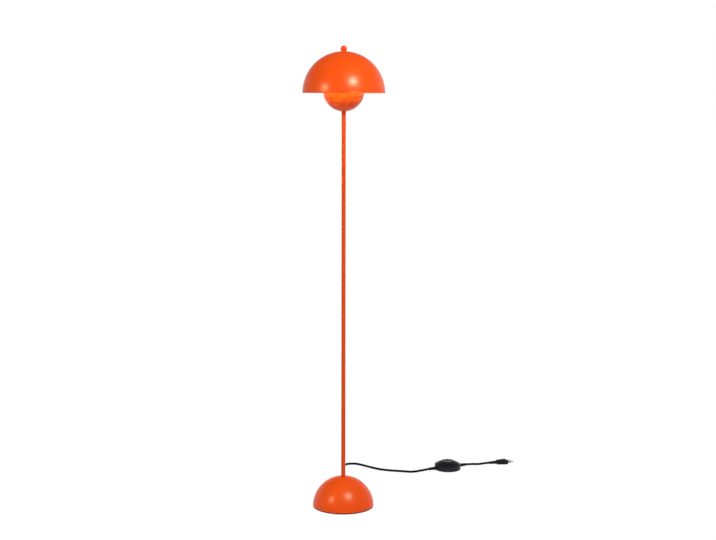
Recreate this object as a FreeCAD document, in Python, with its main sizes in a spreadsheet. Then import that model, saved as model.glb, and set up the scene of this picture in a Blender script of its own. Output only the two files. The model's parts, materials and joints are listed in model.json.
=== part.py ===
"""Mushroom floor lamp: half-sphere shade and bowl on a thin stem, weighted base, foot switch in the cord.

Millimetres, +Z up. The origin is the centre of the foot ring's underside, on the floor below the stem.
"""

import FreeCAD, Part
import math
import os

import Sketcher

Vector = FreeCAD.Vector
doc = FreeCAD.newDocument("MushroomFloorLamp")

# ---------------------------------------------------------------------------------------------------------
# Driving dimensions. Each has one cell and one alias in the sheet.
# ---------------------------------------------------------------------------------------------------------

SIZES = {
    # base
    "foot_height": 3.0,
    "foot_inset": 0.5,
    "foot_width": 10.0,
    "base_radius": 87.5,
    "base_sink": 4.0,
    "base_wall": 1.5,
    "seat_margin": 1.2,
    "seat_gap": 0.2,
    "plate_thickness": 2.0,
    "plate_gap": 0.5,
    "weight_height": 32.0,
    "weight_gap": 2.5,
    "chamber_radius": 22.0,
    "chamber_depth": 20.0,
    "channel_gap": 1.0,
    "plate_screw_inset": 17.0,
    "plate_screw_radius": 2.0,
    "plate_screw_length": 12.0,
    "plate_screw_head": 3.6,
    "screw_gap": 0.1,
    # threaded tubes
    "rod_radius": 5.0,
    "rod_bore": 3.5,
    "rod_reach": 20.0,
    "rod_tail": 3.0,
    "thread_gap": 0.05,
    "washer_radius": 10.5,
    "washer_thickness": 1.5,
    "nut_radius": 9.8,
    "nut_thickness": 5.0,
    # stem
    "stem_wall": 0.95,
    "stem_length": 1043.0,
    # bowl and shade
    "bowl_radius": 57.5,
    "bowl_wall": 1.2,
    "bowl_bead": 1.0,
    "bowl_ring_height": 3.5,
    "shade_radius": 115.0,
    "shade_wall": 1.2,
    "shade_bead": 1.1,
    "shade_drop": 6.5,
    "shade_ring_height": 4.0,
    # bracket
    "bracket_thickness": 1.5,
    "bracket_width": 10.0,
    "bracket_gap": 8.0,
    "bracket_rise": 22.0,
    "bracket_shoulder": 44.0,
    "bracket_head": 12.0,
    "bracket_bend": 6.0,
    "stud_radius": 3.0,
    "stud_grip": 10.0,
    "stud_nut_radius": 5.8,
    "stud_nut_thickness": 5.0,
    "stud_tail": 1.5,
    "stud_end_gap": 1.0,
    # finial
    "ball_radius": 9.0,
    "collar_height": 1.8,
    "collar_inset": 1.4,
    "finial_gap": 0.15,
    "running_gap": 0.08,
    # lampholder and bulb
    "locknut_radius": 8.6,
    "locknut_thickness": 3.0,
    "nipple_reach": 18.0,
    "holder_shell": 3.8,
    "holder_neck_radius": 12.0,
    "holder_wall": 2.0,
    "holder_cap_height": 16.0,
    "holder_body_height": 30.0,
    "insert_thickness": 6.0,
    "cap_radius": 13.2,
    "cap_gap": 0.4,
    "thread_wall": 0.6,
    "thread_height": 24.0,
    "contact_radius": 4.0,
    "contact_thickness": 2.0,
    "bulb_gap": 0.3,
    "cap_tip_height": 3.0,
    "cap_height": 25.0,
    "bulb_radius": 30.0,
    "bulb_length": 106.0,
    "bulb_neck_drop": 16.5,
    "bulb_wall": 1.2,
    # cord outlet in the base, turned from straight back
    "outlet_turn": 20.0,
    "cord_radius": 3.5,
    "neck_wall": 1.1,
    "sleeve_root_wall": 2.1,
    "sleeve_mouth_wall": 0.8,
    "gland_rim": 3.4,
    "gland_flange": 2.5,
    "gland_nut_depth": 5.0,
    "sleeve_length": 28.6,
    "clamp_inset": 23.5,
    "clamp_gap": 0.5,
    "clamp_lift": 1.0,
    "clamp_width": 8.0,
    "clamp_length": 34.0,
    "clamp_thickness": 3.0,
    "clamp_screw_place": 13.0,
    "clamp_screw_radius": 1.5,
    "clamp_screw_length": 11.0,
    "terminal_gap": 9.0,
    "terminal_length": 20.0,
    "terminal_width": 14.0,
    "terminal_height": 12.0,
    "terminal_hole": 1.6,
    "lead_radius": 2.2,
    "lead_lift": 1.3,
    "lead_run": 7.0,
    "lead_fall": 9.0,
    "lead_bend": 5.0,
    "lead_elbow": 8.0,
    # cord coil
    "coil_centre_x": -1.5,
    "coil_centre_y": 182.0,
    "coil_height": 4.5,
    "coil_outer": 46.5,
    "coil_pitch": 7.5,
    "coil_layer": 7.6,
    "coil_end": 7.0,
    "tie_width": 8.0,
    "tie_thickness": 0.7,
    "tie_gap": 0.3,
    "tie_slack": 0.1,
    # foot switch, in its own frame: its x runs along the cord
    "switch_x": 326.0,
    "switch_y": 386.0,
    "switch_turn": 24.6,
    "switch_radius": 41.0,
    "switch_wall": 2.2,
    "switch_edge": 1.0,
    "switch_floor": 3.0,
    "switch_base_height": 13.0,
    "switch_band": 2.5,
    "switch_rise": 10.5,
    "pad_height": 1.5,
    "pad_gap": 1.0,
    "pad_bore": 18.0,
    "button_radius": 20.0,
    "button_gap": 0.35,
    "button_lip": 2.4,
    "button_lip_thickness": 1.6,
    "button_proud": 1.1,
    "button_dish": 0.8,
    "button_dish_radius": 15.0,
    "button_edge": 1.0,
    "button_travel": 3.0,
    "plunger_radius": 3.0,
    "plunger_gap": 0.25,
    "switch_cord_height": 8.6,
    "switch_sleeve_length": 26.0,
    "switch_neck_reach": 3.0,
    "block_length": 28.0,
    "block_width": 18.0,
    "block_height": 10.5,
    "blade_length": 12.0,
    "blade_thickness": 0.6,
    "blade_height": 7.0,
    "blade_lift": 2.0,
    "spring_radius": 6.0,
    "spring_wire": 0.45,
    "spring_gap": 0.05,
    "switch_screw_circle": 33.0,
    "switch_screw_radius": 1.4,
    "switch_screw_head": 3.0,
    "switch_head_depth": 1.7,
    "switch_screw_grip": 5.7,
    "post_radius": 3.4,
    # plug, in its own frame: its x runs from the cord to the pins
    "plug_x": 463.0,
    "plug_y": 440.0,
    "plug_turn": 15.8,
    "plug_lift": 0.1,
    "plug_sleeve_length": 24.0,
    "plug_length": 36.0,
    "plug_width": 30.0,
    "plug_neck_width": 13.0,
    "plug_shoulder": 14.4,
    "plug_shoulder_width": 26.0,
    "plug_flat": 5.4,
    "plug_thickness": 13.6,
    "plug_edge": 3.0,
    "pin_radius": 2.0,
    "pin_length": 19.0,
    "pin_spacing": 18.6,
}

sheet = doc.addObject("Spreadsheet::Sheet", "Sizes")
for row, (alias, size) in enumerate(SIZES.items(), start=1):
    sheet.set(f"A{row}", alias)
    sheet.set(f"B{row}", str(size))
    sheet.setAlias(f"B{row}", alias)
doc.recompute()


def formula(words):
    """Writes the sheet's name before each alias in a formula, so that a formula here reads as plain words."""
    out = []
    word = ""
    for letter in words + " ":
        if letter.isalnum() or letter == "_" or letter == ".":
            word += letter
            continue
        out.append(f"Sizes.{word}" if word in SIZES else word)
        out.append(letter)
        word = ""
    return "".join(out).strip()


def number(words):
    """The value of a formula, for the few shapes that are worked out point by point."""
    return float(sheet.evalExpression(formula(words)))


# Radii that several pieces share: each bore takes the size of what goes through it and a gap.
THREAD_BORE = "(rod_radius + thread_gap)"
CLEAR_BORE = "(rod_radius + screw_gap)"
STEM_RADIUS = f"({THREAD_BORE} + stem_wall)"
SEAT_RADIUS = f"({STEM_RADIUS} + seat_margin)"
SPACER_RADIUS = f"({SEAT_RADIUS} - seat_gap)"
STUD_BORE = "(stud_radius + screw_gap)"
FOOT_OUTER = "(base_radius - foot_inset)"
PLATE_SCREW_CIRCLE = f"({FOOT_OUTER} - foot_width - plate_screw_inset)"
SOCKET_BORE = "(cap_radius + cap_gap)"
SOCKET_OUTER = f"({SOCKET_BORE} + thread_wall)"
HOLDER_RADIUS = f"({SOCKET_OUTER} + holder_shell)"
NECK_RADIUS = "(cord_radius + neck_wall)"
SLEEVE_ROOT = "(cord_radius + sleeve_root_wall)"
SLEEVE_MOUTH = "(cord_radius + sleeve_mouth_wall)"
GLAND_RIM_RADIUS = f"({NECK_RADIUS} + gland_rim)"

# Heights of the faces that the pieces stack on, from the floor up. The base is a little less than half a
# ball: the ball's centre lies below the shell's edge.
PLATE_TOP = "(foot_height + plate_thickness)"
WEIGHT_TOP = f"({PLATE_TOP} + weight_height)"
BASE_CENTRE = "(foot_height - base_sink)"
BASE_RISE = f"sqrt(base_radius^2 - {SEAT_RADIUS}^2)"
STEM_FOOT = f"({BASE_CENTRE} + {BASE_RISE})"
STEM_TOP = f"({STEM_FOOT} + stem_length)"
BOWL_RISE = f"sqrt(bowl_radius^2 - {SEAT_RADIUS}^2)"
BOWL_CENTRE = f"({STEM_TOP} + {BOWL_RISE})"
BRACKET_FLOOR = f"({STEM_TOP} + bowl_wall + bowl_ring_height)"
LOCKNUT_FLOOR = f"({BRACKET_FLOOR} + bracket_thickness)"
HOLDER_FLOOR = f"({LOCKNUT_FLOOR} + locknut_thickness)"
HOLDER_JOINT = f"({HOLDER_FLOOR} + holder_cap_height)"
CONTACT_TOP = f"({HOLDER_JOINT} + contact_thickness)"
BULB_FLOOR = f"({CONTACT_TOP} + bulb_gap)"
SHADE_RIM = f"({BOWL_CENTRE} - shade_drop)"
SHADE_RISE = f"sqrt(shade_radius^2 - {SEAT_RADIUS}^2)"
SHADE_TOP = f"({SHADE_RIM} + {SHADE_RISE})"
BRACKET_TOP = f"({SHADE_TOP} - shade_wall - shade_ring_height)"
CHAMBER_TOP = f"({PLATE_TOP} + chamber_depth)"
NUT_TOP = f"({CHAMBER_TOP} - washer_thickness)"
ROD_END = f"({NUT_TOP} - nut_thickness - rod_tail)"

parts = {}


# ---------------------------------------------------------------------------------------------------------
# Ways of making a piece
# ---------------------------------------------------------------------------------------------------------

def place(item, x="0", y="0", z="0", rotation=None):
    """Puts an object at a formula-bound place, turned by a fixed rotation."""
    if rotation is not None:
        item.Placement = FreeCAD.Placement(Vector(0, 0, 0), rotation)
    for axis, words in (("x", x), ("y", y), ("z", z)):
        if words != "0":
            item.setExpression(f"Placement.Base.{axis}", formula(words))
    return item


def solid(kind, name, x="0", y="0", z="0", rotation=None, **sizes):
    """A primitive solid with each size bound to a formula."""
    item = doc.addObject(f"Part::{kind}", name)
    for prop, words in sizes.items():
        item.setExpression(prop, formula(words))
    return place(item, x, y, z, rotation)


def cylinder(name, radius, height, x="0", y="0", z="0", rotation=None):
    return solid("Cylinder", name, x, y, z, rotation, Radius=radius, Height=height)


def box(name, length, width, height, x="0", y="0", z="0"):
    return solid("Box", name, x, y, z, Length=length, Width=width, Height=height)


def cut(name, base, *tools):
    """The base less each tool in turn."""
    for index, tool in enumerate(tools, start=1):
        step = doc.addObject("Part::Cut", name if index == len(tools) else f"{name}_cut{index}")
        step.Base = base
        step.Tool = tool
        base = step
    return base


def fuse(name, *shapes):
    item = doc.addObject("Part::MultiFuse", name)
    item.Shapes = list(shapes)
    return item


def common(name, *shapes):
    item = doc.addObject("Part::MultiCommon", name)
    item.Shapes = list(shapes)
    return item


def group(name, *shapes):
    """Separate solids of one kind that share a node."""
    item = doc.addObject("Part::Compound", name)
    item.Links = list(shapes)
    return item


def keep(item, name=None, placement=None):
    """Marks an object as a finished sub-part."""
    if name is not None:
        item.Label = name
    if placement is not None:
        item.Placement = placement
    parts[item.Label] = item
    return item


def feature(name, shape, placement=None):
    """A sub-part whose shape is worked out in code."""
    item = doc.addObject("Part::Feature", name)
    item.Shape = shape
    return keep(item, placement=placement)


def new_sketch(body, name, plane):
    sketch = body.newObject("Sketcher::SketchObject", name)
    origin = next(item for item in body.Origin.OriginFeatures if item.Role == plane)
    sketch.AttachmentSupport = [(origin, "")]
    sketch.MapMode = "FlatFace"
    return sketch


def draw_outline(sketch, points):
    """A closed outline of straight lines. Each corner is a pair of formulas, from the sketch's origin."""
    corners = [Vector(number(x), number(y), 0) for x, y in points]
    count = len(corners)
    for index in range(count):
        sketch.addGeometry(Part.LineSegment(corners[index], corners[(index + 1) % count]), False)
    for index in range(count):
        sketch.addConstraint(Sketcher.Constraint("Coincident", index, 2, (index + 1) % count, 1))
    for index, (x, y) in enumerate(points):
        for kind, words, axis in (("DistanceX", x, -2), ("DistanceY", y, -1)):
            if words == "0":
                sketch.addConstraint(Sketcher.Constraint("PointOnObject", index, 1, axis))
                continue
            size = Sketcher.Constraint(kind, -1, 1, index, 1, number(words))
            bound = sketch.addConstraint(size)
            sketch.setExpression(f"Constraints[{bound}]", formula(words))


def turned(name, points, x="0", y="0", z="0"):
    """A lathe-turned piece: an outline of (radius, height) corners, revolved about the vertical axis."""
    body = doc.addObject("PartDesign::Body", name)
    sketch = new_sketch(body, f"{name}_profile", "XZ_Plane")
    draw_outline(sketch, points)
    spin = body.newObject("PartDesign::Revolution", f"{name}_turning")
    spin.Profile = sketch
    spin.ReferenceAxis = (sketch, ["V_Axis"])
    spin.Angle = 360.0
    sketch.Visibility = False
    return place(body, x, y, z)


def sleeve(name, outer, bore, height, z="0"):
    """A plain tube: washer, spacer, nipple or ring."""
    return turned(name, [(bore, "0"), (outer, "0"), (outer, height), (bore, height)], z=z)


def plate_body(name, points, thickness):
    """A flat piece cut to an outline and as thick as said."""
    body = doc.addObject("PartDesign::Body", name)
    sketch = new_sketch(body, f"{name}_outline", "XY_Plane")
    draw_outline(sketch, points)
    pad = body.newObject("PartDesign::Pad", f"{name}_pad")
    pad.Profile = sketch
    pad.setExpression("Length", formula(thickness))
    sketch.Visibility = False
    return body


def hex_nut(name, corner_radius, thickness, bore, z):
    blank = solid("Prism", f"{name}_blank", z=z, Polygon="6", Circumradius=corner_radius, Height=thickness)
    hole = cylinder(f"{name}_hole", bore, thickness, z=z)
    return keep(cut(name, blank, hole))


def half_shell(name, radius, wall, rise, centre, hole, bead, upward):
    """A spun half sphere with a flat seat and a hole at its pole and a bead rolled inwards at its rim."""
    half = {"Angle1": "0", "Angle2": "90"} if upward else {"Angle1": "-90", "Angle2": "0"}
    low = "0" if upward else f"-({rise})"
    outer_ball = solid("Sphere", f"{name}_outer_ball", z=centre, Radius=radius, **half)
    outer_limit = cylinder(f"{name}_outer_limit", radius, rise, z=f"{centre} + {low}")
    inner_ball = solid("Sphere", f"{name}_inner_ball", z=centre, Radius=f"{radius} - {wall}", **half)
    inner_low = "0" if upward else f"-({rise} - {wall})"
    inner_limit = cylinder(f"{name}_inner_limit", radius, f"{rise} - {wall}", z=f"{centre} + {inner_low}")
    blank = common(f"{name}_blank", outer_ball, outer_limit)
    hollow = common(f"{name}_hollow", inner_ball, inner_limit)
    drill_drop = "0" if upward else f"2 * {radius}"
    drill = cylinder(f"{name}_drill", hole, f"2 * {radius}", z=f"{centre} - {drill_drop}")
    shell = cut(f"{name}_spun" if bead else name, blank, hollow, drill)
    if not bead:
        return shell
    bead_height = f"{centre} + {bead}" if upward else f"{centre} - {bead}"
    roll = solid("Torus", f"{name}_roll", z=bead_height, Radius1=f"{radius} - {bead}", Radius2=bead)
    return fuse(name, shell, roll)


ALONG_X = FreeCAD.Rotation(Vector(0, 1, 0), 90)
ALONG_Y = FreeCAD.Rotation(Vector(1, 0, 0), -90)


def frame_at(x, y, z, turn):
    """The placement of a group of pieces that is modelled in its own frame."""
    return FreeCAD.Placement(Vector(x, y, z), FreeCAD.Rotation(Vector(0, 0, 1), turn))


# ---------------------------------------------------------------------------------------------------------
# Paths: straight runs with tangent arcs, and wound paths of biarcs
# ---------------------------------------------------------------------------------------------------------

ARC_SHARE = 0.45


def arc_radius(before, corner, after):
    """The radius of a cord's arc: each arc takes less than half of the shorter run beside it."""
    one = corner - before
    two = after - corner
    return ARC_SHARE * min(one.Length, two.Length) / math.tan(one.getAngle(two) / 2)


def rounded_path(points, radii):
    """Straight runs joined by tangent arcs, one radius for each inner point."""
    edges = []
    start = points[0]
    for before, corner, after, radius in zip(points, points[1:], points[2:], radii):
        back = (before - corner).normalize()
        ahead = (after - corner).normalize()
        half_turn = (math.pi - back.getAngle(ahead)) / 2
        reach = radius * math.tan(half_turn)
        first = corner + back * reach
        last = corner + ahead * reach
        inward = (back + ahead).normalize()
        middle = corner + inward * (radius / math.cos(half_turn) - radius)
        edges.append(Part.LineSegment(start, first).toShape())
        edges.append(Part.Arc(first, middle, last).toShape())
        start = last
    edges.append(Part.LineSegment(start, points[-1]).toShape())
    return Part.Wire(edges)


def arc_from(start, heading, end):
    """The arc that leaves start along heading and reaches end."""
    chord = end - start
    tilt = heading.getAngle(chord)
    side = heading - chord * (heading.dot(chord) / chord.dot(chord))
    middle = start + chord * 0.5 + side.normalize() * (chord.Length / 2 * math.tan(tilt / 2))
    return Part.Arc(start, middle, end).toShape()


def biarc(start, heading, end, end_heading):
    """Two tangent arcs between two points with given headings."""
    gap = end - start
    both = heading + end_heading
    spread = 2 * (1 - heading.dot(end_heading))
    across = gap.dot(both)
    reach = (math.sqrt(across * across + spread * gap.dot(gap)) - across) / spread
    joint = (start + heading * reach + end - end_heading * reach) * 0.5
    back = arc_from(end, end_heading * -1, joint)
    ahead = arc_from(start, heading, joint)
    return [ahead, Part.Arc(joint, back.valueAt(sum(back.ParameterRange) / 2), end).toShape()]


def wound_path(nodes, first_heading, last_heading, end_length):
    """Biarcs through nodes a quarter turn apart, with a straight end on each side where one is asked for."""
    headings = [first_heading]
    headings += [(after - before).normalize() for before, after in zip(nodes, nodes[2:])]
    headings.append(last_heading)
    edges = []
    if end_length:
        edges.append(Part.LineSegment(nodes[0] - first_heading * end_length, nodes[0]).toShape())
    for index in range(len(nodes) - 1):
        edges += biarc(nodes[index], headings[index], nodes[index + 1], headings[index + 1])
    if end_length:
        edges.append(Part.LineSegment(nodes[-1], nodes[-1] + last_heading * end_length).toShape())
    return Part.Wire(edges)


def pipe(path, radius):
    """A round tube along a path."""
    start = path.Edges[0]
    centre = start.valueAt(start.FirstParameter)
    heading = start.tangentAt(start.FirstParameter)
    ring = Part.Wire([Part.Circle(centre, heading, radius).toShape()])
    return Part.Wire(path.Edges).makePipeShell([ring], True, False)


def report_tube(name, shape, path, radius):
    """Prints a tube's length and how its volume compares with section times length."""
    expected = math.pi * radius * radius * path.Length
    print(f"{name}: length {path.Length:.1f}, volume / (section x length) {shape.Volume / expected:.5f}")


def cord(name, route):
    """A free stretch of cord along hand-chosen points."""
    points = [Vector(*point) for point in route]
    radii = [arc_radius(*three) for three in zip(points, points[1:], points[2:])]
    path = rounded_path(points, radii)
    radius = number("cord_radius")
    shape = pipe(path, radius)
    report_tube(name, shape, path, radius)
    print(f"{name}: radii " + ", ".join(f"{value:.0f}" for value in radii))
    return feature(name, shape)


def least_gap(path, radius, step):
    """The least gap between a tube and itself, from points a step apart along its path."""
    points = path.discretize(Distance=step)
    apart = int(4 * radius * math.pi / step)
    least = min(
        (points[one] - points[two]).Length
        for one in range(len(points))
        for two in range(one + apart, len(points))
    )
    return least - 2 * radius


# ---------------------------------------------------------------------------------------------------------
# Base: modelled with the cord outlet straight back, then turned to where the outlet is
# ---------------------------------------------------------------------------------------------------------

base_frame = frame_at(0, 0, 0, number("outlet_turn"))
PLATE_SCREWS = 3
PLATE_SCREW_START = 30.0
CORD_OUTLET_HEIGHT = f"({PLATE_TOP} + clamp_lift + clamp_screw_radius + clamp_thickness + cord_radius)"
CLAMP_CEILING = f"({CORD_OUTLET_HEIGHT} - cord_radius)"
CLAMP_FLOOR = f"({CLAMP_CEILING} - clamp_thickness)"
CLAMP_PLACE = "(base_radius - clamp_inset)"
TERMINAL_END = f"({CLAMP_PLACE} - clamp_width / 2 - terminal_gap)"
TERMINAL_START = f"({TERMINAL_END} - terminal_length)"
SHELL_FACE = f"sqrt(base_radius^2 - ({CORD_OUTLET_HEIGHT} - {BASE_CENTRE})^2)"
GLAND_NUT_PLACE = f"({SHELL_FACE} - base_wall - gland_nut_depth)"
MOUTH = f"({SHELL_FACE} + gland_flange + sleeve_length)"

keep(sleeve("foot_ring", FOOT_OUTER, f"{FOOT_OUTER} - foot_width", "foot_height"))


def around(name, count, circle, radius, height, z, start):
    """Equal upright cylinders on a circle."""
    rods = []
    for index in range(count):
        angle = start + index * 360.0 / count
        x = f"{circle} * cos({angle} * 1deg)"
        y = f"{circle} * sin({angle} * 1deg)"
        rods.append(cylinder(f"{name}_{index + 1}", radius, height, x, y, z))
    return rods


def plate_rods(name, radius, height, z):
    """One cylinder at each of the plate's screws."""
    return around(name, PLATE_SCREWS, PLATE_SCREW_CIRCLE, radius, height, z, PLATE_SCREW_START)


def along_outlet(name, radius, length, y):
    """A cylinder on the cord outlet's axis."""
    return cylinder(name, radius, length, y=y, z=CORD_OUTLET_HEIGHT, rotation=ALONG_Y)


# The plate closes the base from below, inside the shell, on the inner part of the foot ring.
SHELL_INSIDE = f"sqrt((base_radius - base_wall)^2 - ({PLATE_TOP} - {BASE_CENTRE})^2)"
PLATE_RADIUS = f"({SHELL_INSIDE} - plate_gap)"
plate_blank = cylinder("plate_blank", PLATE_RADIUS, "plate_thickness", z="foot_height")
plate_holes = plate_rods("plate_hole", "plate_screw_radius + screw_gap", "plate_thickness", "foot_height")
keep(cut("bottom_plate", plate_blank, *plate_holes), placement=base_frame)

PLATE_HEAD_FLOOR = "(foot_height - plate_screw_radius)"
plate_heads = plate_rods("plate_head", "plate_screw_head", "plate_screw_radius", PLATE_HEAD_FLOOR)
plate_shanks = plate_rods("plate_shank", "plate_screw_radius", "plate_screw_length", "foot_height")
plate_screws = [fuse(f"plate_screw_{i + 1}", *pair) for i, pair in enumerate(zip(plate_heads, plate_shanks))]
keep(group("plate_screws", *plate_screws), placement=base_frame)

# The weight is a cast iron slice of a ball a little smaller than the shell, with a chamber for the rod's nut,
# a channel for the cord, a recess for the cord clamp and threaded holes.
weight_ball = solid("Sphere", "weight_ball", z=BASE_CENTRE, Radius="base_radius - base_wall - weight_gap")
weight_slice = cylinder("weight_slice", "base_radius", "weight_height", z=PLATE_TOP)
weight_blank = common("weight_blank", weight_ball, weight_slice)
weight_bore = cylinder("weight_bore", CLEAR_BORE, "weight_height", z=PLATE_TOP)
chamber = cylinder("chamber", "chamber_radius", "chamber_depth", z=PLATE_TOP)
channel_half = f"({GLAND_RIM_RADIUS} + channel_gap)"
channel = box(
    "channel", f"2 * {channel_half}", "base_radius", f"{CORD_OUTLET_HEIGHT} - {PLATE_TOP} + {channel_half}",
    f"-{channel_half}", "0", PLATE_TOP,
)
recess = box(
    "clamp_recess", "clamp_length + 2 * clamp_gap", "clamp_width + 2 * clamp_gap",
    f"{CLAMP_CEILING} - {PLATE_TOP}",
    "-clamp_length / 2 - clamp_gap", f"{CLAMP_PLACE} - clamp_width / 2 - clamp_gap", PLATE_TOP,
)
weight_holes = plate_rods("weight_hole", "plate_screw_radius + screw_gap", "plate_screw_length", PLATE_TOP)
clamp_sides = ("-clamp_screw_place", "clamp_screw_place")


def clamp_rods(name, radius, height, z):
    """One cylinder at each of the cord clamp's screws."""
    return [cylinder(f"{name}_{i + 1}", radius, height, x, CLAMP_PLACE, z) for i, x in enumerate(clamp_sides)]


clamp_bores = clamp_rods("clamp_bore", "clamp_screw_radius + screw_gap", "clamp_screw_length", CLAMP_CEILING)
weight_tools = [weight_bore, chamber, channel, recess, *weight_holes, *clamp_bores]
keep(cut("base_weight", weight_blank, *weight_tools), placement=base_frame)

# The shell stands on the foot ring and has a hole for the cord gland.
shell_blank = half_shell(
    "shell_blank", "base_radius", "base_wall", BASE_RISE, BASE_CENTRE, CLEAR_BORE, "", True,
)
shell_trim = cylinder("shell_trim", "base_radius + base_wall", "base_sink", z=BASE_CENTRE)
shell_drill = along_outlet("shell_drill", f"{NECK_RADIUS} + screw_gap", "base_radius", "base_radius / 2")
keep(cut("base_shell", shell_blank, shell_trim, shell_drill), placement=base_frame)

# The rod clamps weight, spacer, shell and stem together.
ROD_LENGTH = f"({STEM_FOOT} + rod_reach - {ROD_END})"
keep(sleeve("lower_rod", "rod_radius", "rod_bore", ROD_LENGTH, ROD_END))
hex_nut("rod_nut", "nut_radius", "nut_thickness", THREAD_BORE, f"{NUT_TOP} - nut_thickness")
keep(sleeve("rod_washer", "washer_radius", CLEAR_BORE, "washer_thickness", NUT_TOP))
SPACER_LENGTH = f"({STEM_FOOT} - base_wall - {WEIGHT_TOP})"
keep(sleeve("rod_spacer", SPACER_RADIUS, CLEAR_BORE, SPACER_LENGTH, WEIGHT_TOP))

# Cord gland: a flange that fits the shell outside, a neck through the shell and a tapered strain relief.
FLANGE_LENGTH = f"(gland_flange + {GLAND_RIM_RADIUS})"
FLANGE_START = f"({SHELL_FACE} - {GLAND_RIM_RADIUS})"
flange_blank = along_outlet("flange_blank", GLAND_RIM_RADIUS, FLANGE_LENGTH, FLANGE_START)
flange_seat = solid("Sphere", "flange_seat", z=BASE_CENTRE, Radius="base_radius")
flange = cut("gland_flange_disc", flange_blank, flange_seat)
NECK_LENGTH = "(gland_nut_depth + base_wall + gland_flange)"
gland_neck = along_outlet("gland_neck", NECK_RADIUS, NECK_LENGTH, GLAND_NUT_PLACE)
gland_taper = solid(
    "Cone", "gland_taper", y=f"{SHELL_FACE} + gland_flange", z=CORD_OUTLET_HEIGHT, rotation=ALONG_Y,
    Radius1=SLEEVE_ROOT, Radius2=SLEEVE_MOUTH, Height="sleeve_length",
)
gland_body = fuse("gland_body", flange, gland_neck, gland_taper)
gland_bore = along_outlet("gland_bore", "cord_radius", "base_radius", "base_radius / 2")
keep(cut("cord_gland", gland_body, gland_bore), placement=base_frame)

nut_blank = solid(
    "Prism", "gland_nut_blank", y=GLAND_NUT_PLACE, z=CORD_OUTLET_HEIGHT, rotation=ALONG_Y,
    Polygon="6", Circumradius=GLAND_RIM_RADIUS, Height="gland_nut_depth + base_wall",
)
nut_seat = solid("Sphere", "gland_nut_seat", z=BASE_CENTRE, Radius="base_radius - base_wall")
nut_fitted = common("gland_nut_fitted", nut_blank, nut_seat)
nut_bore = along_outlet("gland_nut_bore", NECK_RADIUS, "base_radius", "base_radius / 2")
keep(cut("gland_nut", nut_fitted, nut_bore), placement=base_frame)

# Cord end inside the base, held by a clamp bar and ending at the terminal block.
inlet = along_outlet("inlet_cord", "cord_radius", f"{MOUTH} - {TERMINAL_END}", TERMINAL_END)
keep(group("cord_inlet", inlet), placement=base_frame)

clamp_blank = box(
    "clamp_blank", "clamp_length", "clamp_width", "clamp_thickness",
    "-clamp_length / 2", f"{CLAMP_PLACE} - clamp_width / 2", CLAMP_FLOOR,
)
clamp_holes = clamp_rods("clamp_hole", "clamp_screw_radius + screw_gap", "clamp_thickness", CLAMP_FLOOR)
keep(cut("cord_clamp", clamp_blank, *clamp_holes), placement=base_frame)
CLAMP_HEAD_FLOOR = f"({CLAMP_FLOOR} - clamp_screw_radius)"
clamp_heads = clamp_rods("clamp_head", "2 * clamp_screw_radius", "clamp_screw_radius", CLAMP_HEAD_FLOOR)
clamp_shanks = clamp_rods("clamp_shank", "clamp_screw_radius", "clamp_screw_length", CLAMP_FLOOR)
clamp_screws = [fuse(f"clamp_screw_{i + 1}", *pair) for i, pair in enumerate(zip(clamp_heads, clamp_shanks))]
keep(group("clamp_screws", *clamp_screws), placement=base_frame)

block_blank = box(
    "terminal_blank", "terminal_width", "terminal_length", "terminal_height",
    "-terminal_width / 2", TERMINAL_START, f"{CORD_OUTLET_HEIGHT} - terminal_height / 2",
)
wire_holes = [
    cylinder(
        f"wire_hole_{i + 1}", "terminal_hole", "terminal_length", x,
        TERMINAL_START, CORD_OUTLET_HEIGHT, ALONG_Y,
    )
    for i, x in enumerate(("-terminal_width / 4", "terminal_width / 4"))
]
keep(cut("terminal_block", block_blank, *wire_holes), placement=base_frame)

# The inner lead runs from the terminal block down under the rod, up through rod, stem and nipple.
lead_start = number(TERMINAL_START)
lead_high = number(CORD_OUTLET_HEIGHT)
lead_low = number(f"{PLATE_TOP} + lead_radius + lead_lift")
lead_top = number(f"{HOLDER_JOINT} - insert_thickness")
lead_edge = lead_start - number("lead_run")
lead_points = [
    Vector(0, lead_start, lead_high),
    Vector(0, lead_edge, lead_high),
    Vector(0, lead_edge - number("lead_fall"), lead_low),
    Vector(0, 0, lead_low),
    Vector(0, 0, lead_top),
]
lead_path = rounded_path(lead_points, [number("lead_bend"), number("lead_bend"), number("lead_elbow")])
lead_shape = pipe(lead_path, number("lead_radius"))
report_tube("inner_lead", lead_shape, lead_path, number("lead_radius"))
feature("inner_lead", lead_shape, base_frame)

# ---------------------------------------------------------------------------------------------------------
# Stem, bowl, bracket and shade
# ---------------------------------------------------------------------------------------------------------

keep(sleeve("stem_tube", STEM_RADIUS, THREAD_BORE, "stem_length", STEM_FOOT))

keep(half_shell(
    "lower_bowl", "bowl_radius", "bowl_wall", BOWL_RISE, BOWL_CENTRE, CLEAR_BORE, "bowl_bead", False,
))
keep(sleeve("bowl_seat_ring", SPACER_RADIUS, CLEAR_BORE, "bowl_ring_height", f"{STEM_TOP} + bowl_wall"))

NIPPLE_TOP = f"({HOLDER_FLOOR} + holder_wall + locknut_thickness)"
NIPPLE_FLOOR = f"({STEM_TOP} - nipple_reach)"
keep(sleeve("upper_nipple", "rod_radius", "rod_bore", f"{NIPPLE_TOP} - {NIPPLE_FLOOR}", NIPPLE_FLOOR))
hex_nut("upper_locknut", "locknut_radius", "locknut_thickness", THREAD_BORE, LOCKNUT_FLOOR)

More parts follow.
